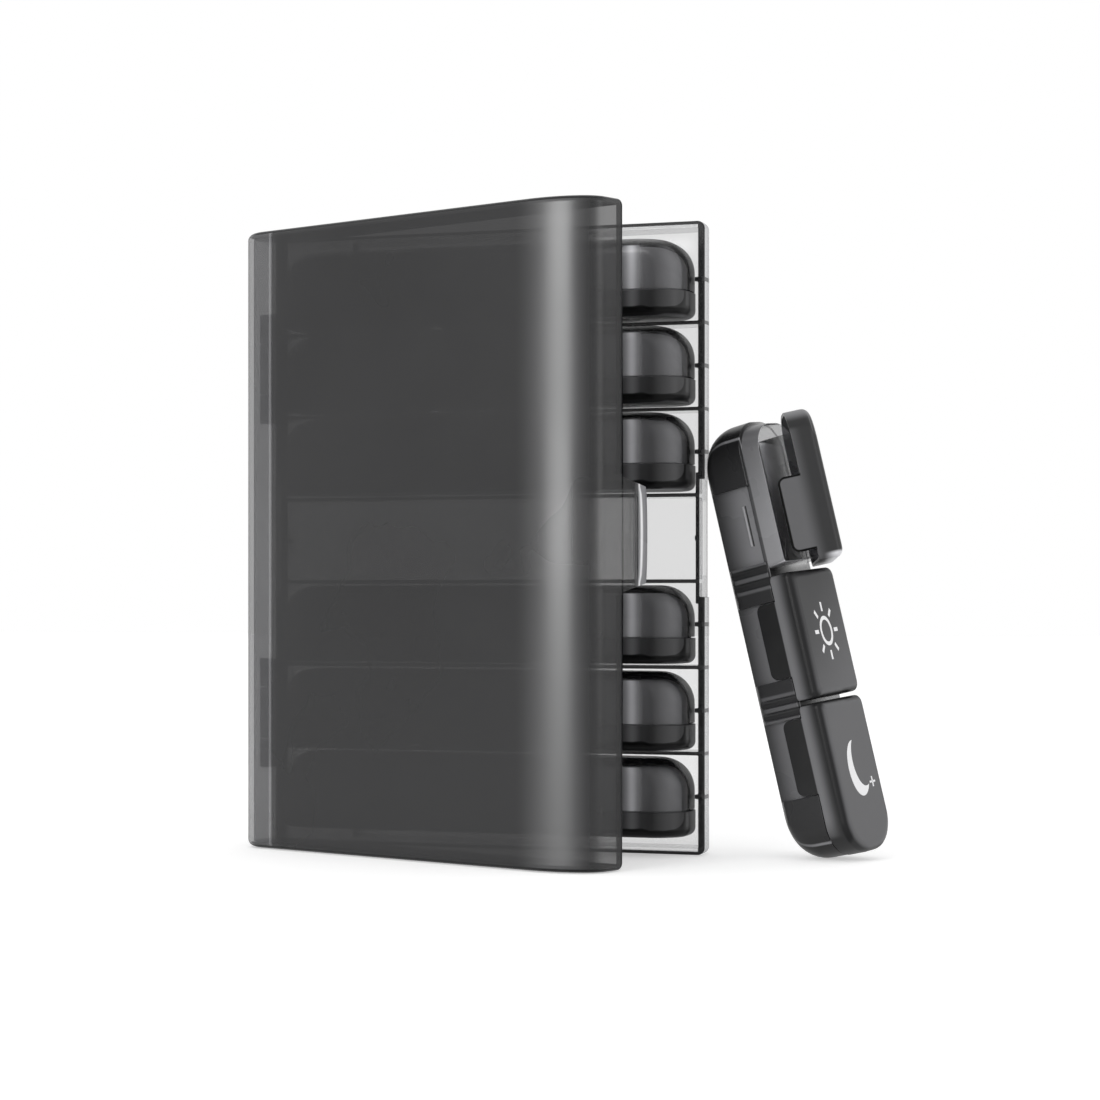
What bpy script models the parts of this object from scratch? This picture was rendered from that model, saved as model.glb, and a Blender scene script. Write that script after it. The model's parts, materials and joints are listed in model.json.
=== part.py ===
"""Seven-day pill organizer: a hinged case standing on its end, with seven removable day boxes.

The case is a rear tray and a front cover on two hinge pins. The tray has seven bays, and each bay
holds a day box lying on its side. A day box is a long body with three compartments, and each
compartment has its own snap lid. Six boxes are stored and one leans on the case with a lid open.

Units are metres and +Z is up. The origin is the middle of the tray's bottom end.
"""
import math

import bmesh
import bpy
from mathutils import Matrix, Vector
from mathutils.bvhtree import BVHTree

MM = 0.001

# Case shells
TRAY_DEPTH = 12.0 * MM
COVER_WALL = 1.6 * MM
TRAY_WALL = 1.8 * MM
COVER_BOX_GAP = 1.2 * MM
COVER_FREE_RADIUS = 10.0 * MM
COVER_FREE_SWEEP = 18.0 * MM
COVER_HINGE_RADIUS = 8.0 * MM
TRAY_BACK_RADIUS = 8.0 * MM
SHELL_END_ROUND = 2.0 * MM
SHELL_GAP = 0.3 * MM
COVER_REST_OPEN = math.radians(21.0)

# Bays of the tray
BAY_COUNT = 7
BAY_PLAY = 0.6 * MM
BAY_END_ROOM = 2.3 * MM
BOX_END_ROOM = 1.25 * MM
DIVIDER_THICKNESS = 1.0 * MM
LOCATING_RIB_THICKNESS = 1.2 * MM
LOCATING_RIB_GAP = 0.3 * MM
END_RIB_THICKNESS = 1.2 * MM
END_RIB_SPREAD = 64.0 * MM
END_RIB_OFFSET = 8.0 * MM

# Case hinge
HINGE_PIN_RADIUS = 1.0 * MM
HINGE_PIN_PLAY = 0.3 * MM
KNUCKLE_RADIUS = 3.0 * MM
KNUCKLE_GAP = 0.3 * MM
HINGE_STATION_LENGTH = 31.0 * MM
COVER_KNUCKLE_LENGTH = 14.4 * MM
HINGE_STATION_SPACING = 98.0 * MM
KNUCKLE_FLOOR = 2.0 * MM

# Latch: the cover's tongue, and the tray's recess with its catch slot
TONGUE_ROOT_WIDTH = 31.0 * MM
TONGUE_TIP_WIDTH = 25.0 * MM
TONGUE_THICKNESS = 1.0 * MM
TONGUE_REACH = 9.6 * MM
TONGUE_ROOT_DEPTH = 3.0 * MM
TONGUE_LIP_LENGTH = 3.6 * MM
TONGUE_LIP_BULGE = 1.1 * MM
LIP_WIDTH_SHARES = (-1.0, -0.6, 0.0, 0.6, 1.0)
LIP_BULGE_SHARES = (0.1, 0.75, 1.0, 0.75, 0.1)
LIP_CREST_SHARE = 0.6
LIP_END_SHARE = 0.9
TONGUE_SIDE_GAP = 0.5 * MM
TONGUE_RECESS_DEPTH = 1.5 * MM
TONGUE_RECESS_WALL = 1.0 * MM
CATCH_SLOT_LENGTH = 20.4 * MM
CATCH_SLOT_DEPTH = 3.6 * MM
CATCH_SLOT_START = 4.0 * MM
HOOK_LENGTH = 1.4 * MM
HOOK_HOLD_GAP = 0.4 * MM
HOOK_END_GAP = 0.6 * MM
HOOK_PASS_GAP = 0.2 * MM

# Day box body
BOX_WIDTH = 22.0 * MM
BODY_HEIGHT = 14.0 * MM
BOX_WALL = 2.2 * MM
BOX_PLAN_RADIUS = 9.0 * MM
BASE_END_RADIUS = 8.5 * MM
BASE_SIDE_RADIUS = 4.0 * MM
CAVITY_CORNER = 1.2 * MM
COLLAR_HEIGHT = 5.0 * MM
COLLAR_TOP_GAP = 1.0 * MM
COLLAR_TAPER = 0.6 * MM
COLLAR_ROOT = 1.0 * MM
BOX_BACK_GAP = 0.3 * MM

# Day box lids
LID_SPACING = 1.0 * MM
LID_WALL = 0.9 * MM
LID_TOP = 1.2 * MM
LID_EDGE_ROUND = 2.2 * MM
LID_CORNER = 1.6 * MM
LID_RIM_GAP = 0.3 * MM
LID_COLLAR_GAP = 0.3 * MM

# Snap tab of a lid, and its recess and ridge in the body
RECESS_LENGTH = 21.0 * MM
MIDDLE_TAB_MARGIN = 6.7 * MM
END_TAB_FROM_JOINT = 3.0 * MM
END_TAB_MARGIN = 8.5 * MM
RECESS_DEPTH = 1.5 * MM
TAB_SIDE_GAP = 0.3 * MM
TAB_THICKNESS = 0.8 * MM
TAB_DROP = 6.3 * MM
TAB_CORNER = 2.0 * MM
TAB_ROOT = 1.0 * MM
TAB_BEAD_LENGTH = 10.0 * MM
TAB_BEAD_HEIGHT = 0.8 * MM
TAB_BEAD_PROUD = 0.2 * MM
TAB_BEAD_RISE = 0.5 * MM
RIDGE_LENGTH = 11.0 * MM
RIDGE_HEIGHT = 0.8 * MM
RIDGE_PROUD = 0.3 * MM
RIDGE_GAP = 0.4 * MM

# Grooved band between two compartments
GROOVE_COUNT = 2
GROOVE_WIDTH = 1.6 * MM
GROOVE_PITCH = 3.4 * MM
GROOVE_DEPTH = 0.8 * MM
GROOVE_START = 2.0 * MM

# Lid hinge: a bar between two ears on the lid, held by a clip on the body
LID_BAR_RADIUS = 0.6 * MM
LID_BAR_PLAY = 0.3 * MM
LID_EAR_RADIUS = 1.0 * MM
LID_EAR_WIDTH = 1.5 * MM
LID_EAR_RISE = 1.6 * MM
LID_CLIP_LENGTH = 8.0 * MM
LID_CLIP_WALL = 0.6 * MM
LID_CLIP_SIDE_GAP = 0.5 * MM
LID_AXIS_PROUD = 0.1 * MM
LID_AXIS_DROP = 0.2 * MM
LID_HINGE_PLAY = 0.3 * MM
LID_CLIP_OPENING = math.radians(100.0)
LID_CLIP_FACING = math.radians(35.0)

# Placing
WEDNESDAY_LEAN = math.radians(13.2)
WEDNESDAY_TURN = math.radians(19.0)
WEDNESDAY_LID_OPEN = math.radians(38.0)
WEDNESDAY_FORWARD = 1.5 * MM
LEAN_GAP = 0.3 * MM

# Cutters run past the faces they cut by this much
OVERRUN = 2.0 * MM

# Clean-up of the finished meshes, and the smallest crease that stays sharp
CUT_MERGE = 0.001 * MM
FLAT_ANGLE = math.radians(0.05)
SMOOTH_ANGLE = math.radians(35.0)

# Lengths of the lids and the box
MIDDLE_LID_LENGTH = RECESS_LENGTH + 2 * MIDDLE_TAB_MARGIN
END_LID_LENGTH = END_TAB_FROM_JOINT + RECESS_LENGTH + END_TAB_MARGIN + BOX_PLAN_RADIUS
BOX_LENGTH = MIDDLE_LID_LENGTH + 2 * LID_SPACING + 2 * END_LID_LENGTH
BOX_HEIGHT = BODY_HEIGHT + COLLAR_HEIGHT + COLLAR_TOP_GAP + LID_TOP
CLIP_REACH = LID_AXIS_PROUD + LID_BAR_RADIUS + LID_BAR_PLAY + LID_CLIP_WALL

# The case fits round its seven boxes
BAY_PITCH = BOX_HEIGHT + DIVIDER_THICKNESS + 2 * BAY_PLAY
CASE_HEIGHT = BAY_COUNT * BAY_PITCH + 2 * (TRAY_WALL + BAY_END_ROOM)
CASE_WIDTH = BOX_LENGTH + 2 * (TRAY_WALL + BOX_END_ROOM)
BOX_PROUD = BOX_BACK_GAP + BOX_WIDTH + CLIP_REACH - (TRAY_DEPTH - TRAY_WALL)
COVER_DEPTH = BOX_PROUD + COVER_BOX_GAP + COVER_WALL

# Derived sizes
HALF_WIDTH = CASE_WIDTH / 2
RIM_Y = -TRAY_DEPTH / 2
TRAY_OPEN_Y = RIM_Y + SHELL_GAP / 2
TRAY_BACK_Y = RIM_Y + TRAY_DEPTH
TRAY_FLOOR_Y = TRAY_BACK_Y - TRAY_WALL
HINGE_X = -HALF_WIDTH - KNUCKLE_RADIUS - KNUCKLE_GAP
MID_HEIGHT = CASE_HEIGHT / 2
HALF_LENGTH = BOX_LENGTH / 2
HALF_BOX = BOX_WIDTH / 2
LID_START = MIDDLE_LID_LENGTH / 2 + LID_SPACING
COLLAR_INSET = LID_WALL + LID_COLLAR_GAP
END_TAB_X = LID_START + END_TAB_FROM_JOINT + RECESS_LENGTH / 2
RIDGE_LOW = BODY_HEIGHT + LID_RIM_GAP - TAB_DROP + TAB_BEAD_RISE + TAB_BEAD_HEIGHT + RIDGE_GAP
LID_AXIS_U = HALF_BOX + LID_AXIS_PROUD
LID_AXIS_V = BODY_HEIGHT - LID_AXIS_DROP
BOX_MID_Y = TRAY_FLOOR_Y - BOX_BACK_GAP - HALF_BOX
RIB_REACH = BOX_END_ROOM - LOCATING_RIB_GAP

DAYS = ["sunday", "monday", "tuesday", "wednesday", "thursday", "friday", "saturday"]
MEALS = ["morning", "noon", "night"]


def clear_scene():
    """Take out whatever the file already holds."""
    for old in list(bpy.data.objects):
        bpy.data.objects.remove(old, do_unlink=True)


def make_material(name, colour, roughness):
    """A plain plastic with its own colour and gloss."""
    material = bpy.data.materials.new(name)
    material.use_nodes = True
    shader = material.node_tree.nodes["Principled BSDF"]
    shader.inputs["Base Color"].default_value = (*colour, 1.0)
    shader.inputs["Roughness"].default_value = roughness
    shader.inputs["Metallic"].default_value = 0.0
    material.diffuse_color = (*colour, 1.0)
    return material


def arc(centre_x, centre_y, radius, start, end, steps):
    """Points of an arc from one angle to another, both ends included.

    The radius is one length, or a pair of lengths for an oval.
    """
    across, up = radius if isinstance(radius, tuple) else (radius, radius)
    points = []
    for step in range(steps + 1):
        angle = start + (end - start) * step / steps
        points.append((centre_x + across * math.cos(angle), centre_y + up * math.sin(angle)))
    return points


def rounded_rectangle(low_x, high_x, low_y, high_y, radii, steps):
    """A counter-clockwise outline whose four corners each have a radius and a step count.

    The corners come in the order low-low, high-low, high-high, low-high. A corner with no steps
    stays sharp, and a corner with a pair of radii is a quarter of an oval.
    """
    corners = [(low_x, low_y, 1, 1), (high_x, low_y, -1, 1), (high_x, high_y, -1, -1),
               (low_x, high_y, 1, -1)]
    outline = []
    for index, (x, y, into_x, into_y) in enumerate(corners):
        if steps[index] == 0:
            outline.append((x, y))
            continue
        radius = radii[index]
        across, up = radius if isinstance(radius, tuple) else (radius, radius)
        start = math.pi + index * math.pi / 2
        outline += arc(x + into_x * across, y + into_y * up, radius, start, start + math.pi / 2,
                       steps[index])
    return outline


def quarter_round(level, radius):
    """How far a wall stands back, at a height above a face, where a radius joins the two."""
    if level >= radius:
        return 0.0
    return radius - math.sqrt(radius ** 2 - (radius - level) ** 2)


def loft(name, rings, turn=None):
    """One closed solid through rings of points, from the lowest ring to the highest."""
    shape = bmesh.new()
    rows = []
    for outline, height in rings:
        rows.append([shape.verts.new((x, y, height)) for x, y in outline])
    for low, high in zip(rows, rows[1:]):
        for index in range(len(low)):
            after = (index + 1) % len(low)
            shape.faces.new((low[index], low[after], high[after], high[index]))
    shape.faces.new(list(reversed(rows[0])))
    shape.faces.new(rows[-1])
    if turn is not None:
        shape.transform(turn)
    mesh = bpy.data.meshes.new(name)
    shape.to_mesh(mesh)
    shape.free()
    piece = bpy.data.objects.new(name, mesh)
    bpy.context.scene.collection.objects.link(piece)
    return piece


def block(name, low, high):
    """A plain block between two corners."""
    outline = rounded_rectangle(low[0], high[0], low[1], high[1], (0,) * 4, (0,) * 4)
    return loft(name, [(outline, low[2]), (outline, high[2])])


def along_x(outline, low_x, high_x, name):
    """A prism whose outline is drawn across the long axis, as width and height."""
    turn = Matrix(((0, 0, 1, 0), (1, 0, 0, 0), (0, 1, 0, 0), (0, 0, 0, 1)))
    return loft(name, [(outline, low_x), (outline, high_x)], turn)


def settle(target, tools, operation):
    """Join tools to a piece, or cut them from it, and keep the result as its mesh."""
    for tool in tools:
        modifier = target.modifiers.new(operation.lower(), "BOOLEAN")
        modifier.operation = operation
        modifier.solver = "EXACT"
        modifier.object = tool
        tool.hide_render = True
        tool.display_type = "WIRE"
    graph = bpy.context.evaluated_depsgraph_get()
    result = bpy.data.meshes.new_from_object(target.evaluated_get(graph))
    target.modifiers.clear()
    target.data = result
    for tool in tools:
        bpy.data.objects.remove(tool, do_unlink=True)
    return target


def take_mesh(piece, name, smooth_angle):
    """Clean a finished master, keep its mesh and remove its object."""
    shape = bmesh.new()
    shape.from_mesh(piece.data)
    bmesh.ops.remove_doubles(shape, verts=shape.verts, dist=CUT_MERGE)
    bmesh.ops.dissolve_limit(shape, angle_limit=FLAT_ANGLE, verts=shape.verts, edges=shape.edges)
    bmesh.ops.triangulate(shape, faces=shape.faces)
    mesh = bpy.data.meshes.new(name)
    shape.to_mesh(mesh)
    shape.free()
    mesh.shade_smooth()
    mesh.set_sharp_from_angle(angle=smooth_angle)
    bpy.data.objects.remove(piece, do_unlink=True)
    return mesh


def body_ring(level):
    """The body's outline at a height: rounded in plan, drawn in towards its base."""
    end = quarter_round(level, BASE_END_RADIUS)
    side = quarter_round(level, BASE_SIDE_RADIUS)
    radius = BOX_PLAN_RADIUS - side
    outline = rounded_rectangle(-HALF_LENGTH + end, HALF_LENGTH - end, -HALF_BOX + side,
                                HALF_BOX - side, (radius,) * 4, (4,) * 4)
    return outline, level


def rounded_levels(radius, start, top, steps):
    """Heights that follow a rounded base evenly, and then the top."""
    levels = []
    for step in range(steps + 1):
        levels.append(start + radius * (1 - math.cos(step * math.pi / 2 / steps)))
    return levels + [top]


def mirror_outline(outline):
    """The same outline on the other side of the middle, still counter-clockwise."""
    return [(-x, y) for x, y in reversed(outline)]


def lid_outline(meal, inset):
    """A lid's outline, drawn in by an inset: one end is rounded like the box, the other is square."""
    width = HALF_BOX - inset
    corner = LID_CORNER - inset / 2
    if meal == "noon":
        half = MIDDLE_LID_LENGTH / 2 - inset
        return rounded_rectangle(-half, half, -width, width, (corner,) * 4, (1,) * 4)
    plan = BOX_PLAN_RADIUS - inset
    outline = rounded_rectangle(LID_START + inset, HALF_LENGTH - inset, -width, width,
                                (corner, plan, plan, corner), (1, 4, 4, 1))
    return outline if meal == "night" else mirror_outline(outline)


def cavity_ring(meal, level):
    """A compartment's outline at a height, concentric with the body's rounded end and base."""
    rise = level - BOX_WALL
    end = BOX_WALL + quarter_round(rise, BASE_END_RADIUS - BOX_WALL)
    side = BOX_WALL + quarter_round(rise, BASE_SIDE_RADIUS - BOX_WALL)
    width = HALF_BOX - side
    if meal == "noon":
        half = MIDDLE_LID_LENGTH / 2 - side
        outline = rounded_rectangle(-half, half, -width, width, (CAVITY_CORNER,) * 4, (1,) * 4)
        return outline, level
    plan = BOX_PLAN_RADIUS - side
    outline = rounded_rectangle(LID_START + side, HALF_LENGTH - end, -width, width,
                                (CAVITY_CORNER, plan, plan, CAVITY_CORNER), (1, 4, 4, 1))
    return (outline if meal == "night" else mirror_outline(outline)), level


def tab_place(meal):
    """The middle of a lid's tab and hinge, along the box."""
    return {"morning": -END_TAB_X, "noon": 0.0, "night": END_TAB_X}[meal]


def hinge_clip(meal):
    """The C-shaped clip on the body that a lid's bar turns in."""
    inner = LID_BAR_RADIUS + LID_BAR_PLAY
    outer = inner + LID_CLIP_WALL
    start = LID_CLIP_FACING + LID_CLIP_OPENING / 2
    end = LID_CLIP_FACING + 2 * math.pi - LID_CLIP_OPENING / 2
    outline = arc(LID_AXIS_U, LID_AXIS_V, outer, start, end, 4)
    outline += arc(LID_AXIS_U, LID_AXIS_V, inner, end, start, 4)
    middle = tab_place(meal)
    return along_x(outline, middle - LID_CLIP_LENGTH / 2, middle + LID_CLIP_LENGTH / 2, "clip")


def hinge_recess(meal):
    """The pocket in the body's far edge that the ears and the bar turn in."""
    reach = LID_EAR_RADIUS + LID_HINGE_PLAY
    half = LID_CLIP_LENGTH / 2 + LID_CLIP_SIDE_GAP + LID_EAR_WIDTH + LID_CLIP_SIDE_GAP
    middle = tab_place(meal)
    low = (middle - half, LID_AXIS_U - reach, LID_AXIS_V - reach)
    high = (middle + half, HALF_BOX + OVERRUN, BODY_HEIGHT + OVERRUN)
    return block("hinge recess", low, high)


def tab_recess(meal):
    """The shallow recess in the near side that takes the lid's tab and a fingertip."""
    middle = tab_place(meal)
    low = (middle - RECESS_LENGTH / 2, -HALF_BOX - OVERRUN, -OVERRUN)
    high = (middle + RECESS_LENGTH / 2, -HALF_BOX + RECESS_DEPTH, BODY_HEIGHT + OVERRUN)
    return block("tab recess", low, high)


def catch_ridge(meal):
    """The small ridge in the recess that the tab's bead snaps under."""
    middle = tab_place(meal)
    floor = -HALF_BOX + RECESS_DEPTH
    low = (middle - RIDGE_LENGTH / 2, floor - RIDGE_PROUD, RIDGE_LOW)
    high = (middle + RIDGE_LENGTH / 2, floor + RIDGE_PROUD, RIDGE_LOW + RIDGE_HEIGHT)
    return block("ridge", low, high)


def band_grooves():
    """Grooves across the near side at each joint between two lids."""
    grooves = []
    for side in (-1, 1):
        joint = side * (LID_START - LID_SPACING / 2)
        for index in range(GROOVE_COUNT):
            middle = joint + (index - (GROOVE_COUNT - 1) / 2) * GROOVE_PITCH
            low = (middle - GROOVE_WIDTH / 2, -HALF_BOX - OVERRUN, GROOVE_START)
            high = (middle + GROOVE_WIDTH / 2, -HALF_BOX + GROOVE_DEPTH, BODY_HEIGHT + OVERRUN)
            grooves.append(block("groove", low, high))
    return grooves


def day_box_mesh():
    """The body of a day box, with three compartments, collars, recesses and hinge clips."""
    levels = rounded_levels(BASE_END_RADIUS, 0.0, BODY_HEIGHT, 3)
    body = loft("body", [body_ring(level) for level in levels])
    settle(body, [tab_recess(meal) for meal in MEALS] + band_grooves(), "DIFFERENCE")
    settle(body, [hinge_recess(meal) for meal in MEALS], "DIFFERENCE")
    collars = []
    for meal in MEALS:
        low = lid_outline(meal, COLLAR_INSET)
        high = lid_outline(meal, COLLAR_INSET + COLLAR_TAPER)
        collars.append(loft("collar", [(low, BODY_HEIGHT - COLLAR_ROOT), (low, BODY_HEIGHT),
                                       (high, BODY_HEIGHT + COLLAR_HEIGHT)]))
    settle(body, collars, "UNION")
    settle(body, [hinge_clip(meal) for meal in MEALS], "UNION")
    bores = [lid_bar_space(meal) for meal in MEALS]
    settle(body, bores, "DIFFERENCE")
    cavities = []
    for meal in MEALS:
        top = BODY_HEIGHT + COLLAR_HEIGHT + OVERRUN
        steps = rounded_levels(BASE_END_RADIUS - BOX_WALL, BOX_WALL, top, 2)
        cavities.append(loft("cavity", [cavity_ring(meal, level) for level in steps]))
    settle(body, cavities, "DIFFERENCE")
    settle(body, [catch_ridge(meal) for meal in MEALS], "UNION")
    return take_mesh(body, "day_box", SMOOTH_ANGLE)


def lid_bar_space(meal):
    """The round space that the bar needs inside the clip, cut from whatever lies there."""
    outline = arc(LID_AXIS_U, LID_AXIS_V, LID_BAR_RADIUS + LID_BAR_PLAY, 0, 2 * math.pi, 8)[:-1]
    half = LID_CLIP_LENGTH / 2 + LID_CLIP_SIDE_GAP
    middle = tab_place(meal)
    return along_x(outline, middle - half, middle + half, "bar space")


def lid_ear(middle):
    """An ear that hangs from the lid's far wall and carries one end of the bar."""
    foot = arc(LID_AXIS_U, LID_AXIS_V, LID_EAR_RADIUS, math.pi, 2 * math.pi, 4)
    top = LID_AXIS_V + LID_EAR_RISE + LID_RIM_GAP
    inside = HALF_BOX - LID_WALL
    foot += [(HALF_BOX + LID_AXIS_PROUD, top), (inside, top), (inside, LID_AXIS_V + LID_EAR_RADIUS)]
    return along_x(foot, middle - LID_EAR_WIDTH / 2, middle + LID_EAR_WIDTH / 2, "ear")


def lid_tab(meal):
    """The snap tab on the lid's near wall, with rounded lower corners and a bead inside."""
    middle = tab_place(meal)
    half = RECESS_LENGTH / 2 - TAB_SIDE_GAP
    rim = BODY_HEIGHT + LID_RIM_GAP
    outline = rounded_rectangle(middle - half, middle + half, rim - TAB_DROP, rim + TAB_ROOT,
                                (TAB_CORNER, TAB_CORNER, 0, 0), (2, 2, 0, 0))
    turn = Matrix(((1, 0, 0, 0), (0, 0, -1, 0), (0, 1, 0, 0), (0, 0, 0, 1)))
    outer = HALF_BOX
    tab = loft("tab", [(outline, outer - TAB_THICKNESS), (outline, outer)], turn)
    inner = -HALF_BOX + TAB_THICKNESS
    bead_low = rim - TAB_DROP + TAB_BEAD_RISE
    low = (middle - TAB_BEAD_LENGTH / 2, inner - TAB_BEAD_PROUD, bead_low)
    high = (middle + TAB_BEAD_LENGTH / 2, inner + TAB_BEAD_PROUD, bead_low + TAB_BEAD_HEIGHT)
    return settle(tab, [block("bead", low, high)], "UNION")


def lid_mesh(meal):
    """One snap lid, drawn about its own hinge bar."""
    rim = BODY_HEIGHT + LID_RIM_GAP
    soft = LID_EDGE_ROUND * (1 - math.cos(math.pi / 4))
    rings = [(lid_outline(meal, 0.0), rim),
             (lid_outline(meal, 0.0), BOX_HEIGHT - LID_EDGE_ROUND),
             (lid_outline(meal, soft), BOX_HEIGHT - soft),
             (lid_outline(meal, LID_EDGE_ROUND), BOX_HEIGHT)]
    cap = loft("lid", rings)
    inside = lid_outline(meal, LID_WALL)
    hollow = loft("hollow", [(inside, rim - OVERRUN), (inside, BOX_HEIGHT - LID_TOP)])
    middle = tab_place(meal)
    outer = LID_BAR_RADIUS + LID_BAR_PLAY + LID_CLIP_WALL + LID_HINGE_PLAY
    half = LID_CLIP_LENGTH / 2 + LID_CLIP_SIDE_GAP
    low = (middle - half, HALF_BOX - LID_WALL - OVERRUN, rim - OVERRUN)
    high = (middle + half, HALF_BOX + OVERRUN, LID_AXIS_V + outer)
    settle(cap, [hollow, block("clip notch", low, high)], "DIFFERENCE")
    ear_middle = half + LID_EAR_WIDTH / 2
    ears = [lid_ear(middle - ear_middle), lid_ear(middle + ear_middle)]
    bar_outline = arc(LID_AXIS_U, LID_AXIS_V, LID_BAR_RADIUS, 0, 2 * math.pi, 8)[:-1]
    bar = along_x(bar_outline, middle - ear_middle, middle + ear_middle, "bar")
    settle(cap, [lid_tab(meal)] + ears + [bar], "UNION")
    cap.data.transform(Matrix.Translation((-middle, -LID_AXIS_U, -LID_AXIS_V)))
    return take_mesh(cap, meal + "_lid", SMOOTH_ANGLE)


def shell_rings(low_x, high_x, open_y, far_y, radii, z_low, z_high):
    """Rings of a case shell: sides and back draw in at both ends, and the open side stays flat.

    The radii are pairs, across and deep, for the far corners at the low and the high side.
    """
    soft = SHELL_END_ROUND * (1 - math.cos(math.pi / 4))
    ladder = [(SHELL_END_ROUND, z_low), (soft, z_low + soft), (0.0, z_low + SHELL_END_ROUND),
              (0.0, z_high - SHELL_END_ROUND), (soft, z_high - soft), (SHELL_END_ROUND, z_high)]
    rings = []
    for inset, height in ladder:
        sign = 1 if far_y > open_y else -1
        far = far_y - sign * inset
        low_radius = (radii[0][0] - inset, radii[0][1] - inset)
        high_radius = (radii[1][0] - inset, radii[1][1] - inset)
        if sign > 0:
            outline = rounded_rectangle(low_x + inset, high_x - inset, open_y, far,
                                        (0, 0, high_radius, low_radius), (0, 0, 6, 6))
        else:
            outline = rounded_rectangle(low_x + inset, high_x - inset, far, open_y,
                                        (low_radius, high_radius, 0, 0), (6, 8, 0, 0))
        rings.append((outline, height))
    return rings


def station_heights():
    """The middle heights of the lower and upper hinge stations."""
    return (MID_HEIGHT - HINGE_STATION_SPACING / 2, MID_HEIGHT + HINGE_STATION_SPACING / 2)


def round_bar(name, x, y, radius, low, high, steps):
    """An upright round bar."""
    outline = arc(x, y, radius, 0, 2 * math.pi, steps)[:-1]
    return loft(name, [(outline, low), (outline, high)])


def knuckle(x, y, web_low_y, web_high_y, web_end_x, low, high):
    """A hinge knuckle with a web to the wall that carries it."""
    barrel = round_bar("knuckle", x, y, KNUCKLE_RADIUS, low, high, 16)
    web = block("web", (x, web_low_y, low), (web_end_x, web_high_y, high))
    return settle(barrel, [web], "UNION")


def tray_mesh():
    """The rear tray: seven bays, locating ribs, hinge knuckles and the latch's catch."""
    corner = (TRAY_BACK_RADIUS, TRAY_BACK_RADIUS)
    rings = shell_rings(-HALF_WIDTH, HALF_WIDTH, TRAY_OPEN_Y, TRAY_BACK_Y, (corner, corner),
                        0.0, CASE_HEIGHT)
    tray = loft("tray", rings)
    inner_x = HALF_WIDTH - TRAY_WALL
    inner_radius = TRAY_BACK_RADIUS - TRAY_WALL
    outline = rounded_rectangle(-inner_x, inner_x, TRAY_OPEN_Y - OVERRUN, TRAY_FLOOR_Y,
                                (0, 0, inner_radius, inner_radius), (0, 0, 4, 4))
    bays = []
    for index in range(BAY_COUNT):
        low, high = bay_limits(index)
        bay = loft("bay", [(outline, low), (outline, high)])
        bays.append(settle(bay, left_in_bay(index), "DIFFERENCE"))
    settle(tray, bays, "DIFFERENCE")
    settle(tray, latch_cuts(), "DIFFERENCE")
    additions = []
    side_length = (HINGE_STATION_LENGTH - COVER_KNUCKLE_LENGTH) / 2 - KNUCKLE_GAP
    for middle in station_heights():
        for start in (middle - HINGE_STATION_LENGTH / 2,
                      middle + HINGE_STATION_LENGTH / 2 - side_length):
            additions.append(knuckle(HINGE_X, RIM_Y, RIM_Y + SHELL_GAP, RIM_Y + KNUCKLE_RADIUS,
                                     -HALF_WIDTH + TRAY_WALL / 2, start, start + side_length))
    settle(tray, additions, "UNION")
    bores = []
    for middle in station_heights():
        floor = middle - HINGE_STATION_LENGTH / 2 + KNUCKLE_FLOOR
        top = middle + HINGE_STATION_LENGTH / 2 + OVERRUN
        bores.append(round_bar("bore", HINGE_X, RIM_Y, HINGE_PIN_RADIUS + HINGE_PIN_PLAY,
                               floor, top, 12))
    settle(tray, bores, "DIFFERENCE")
    return take_mesh(tray, "rear_tray", SMOOTH_ANGLE)


def bay_height(index):
    """The middle height of a bay, counted from the bottom."""
    return MID_HEIGHT + (index - (BAY_COUNT - 1) / 2) * BAY_PITCH


def bay_limits(index):
    """The lowest and highest level of a bay. The end bays reach the end walls."""
    low = bay_height(index) - BAY_PITCH / 2 + DIVIDER_THICKNESS / 2
    high = bay_height(index) + BAY_PITCH / 2 - DIVIDER_THICKNESS / 2
    if index == 0:
        low = TRAY_WALL
    if index == BAY_COUNT - 1:
        high = CASE_HEIGHT - TRAY_WALL
    return low, high


def left_in_bay(index):
    """What stays standing in a bay: ribs that place its box, and the wall behind the latch."""
    inner_x = HALF_WIDTH - TRAY_WALL
    front = TRAY_OPEN_Y - OVERRUN * 2
    back = TRAY_BACK_Y
    middle = bay_height(index)
    half = LOCATING_RIB_THICKNESS / 2
    left = []
    for side in (-1, 1):
        tip_x = side * (inner_x - RIB_REACH)
        out_x = side * (inner_x + OVERRUN)
        left.append(block("rib", (min(tip_x, out_x), front, middle - half),
                          (max(tip_x, out_x), back, middle + half)))
    low, high = bay_limits(index)
    recess_half = latch_recess_half() + TRAY_WALL
    behind = HALF_WIDTH - TONGUE_RECESS_DEPTH - TONGUE_RECESS_WALL
    wall_low = max(low - OVERRUN, MID_HEIGHT - recess_half)
    wall_high = min(high + OVERRUN, MID_HEIGHT + recess_half)
    if wall_low < high and wall_high > low:
        left.append(block("latch wall", (behind, front, wall_low),
                          (inner_x + OVERRUN, back, wall_high)))
    box_low = middle - BOX_HEIGHT / 2 - LOCATING_RIB_GAP
    box_high = middle + BOX_HEIGHT / 2 + LOCATING_RIB_GAP
    for side in (-1, 1):
        rib_x = -END_RIB_OFFSET + side * END_RIB_SPREAD / 2
        if index == 0:
            left.append(block("end rib", (rib_x - END_RIB_THICKNESS / 2, front, low - OVERRUN),
                              (rib_x + END_RIB_THICKNESS / 2, back, box_low)))
        if index == BAY_COUNT - 1:
            left.append(block("end rib", (rib_x - END_RIB_THICKNESS / 2, front, box_high),
                              (rib_x + END_RIB_THICKNESS / 2, back, high + OVERRUN)))
    return left


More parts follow.
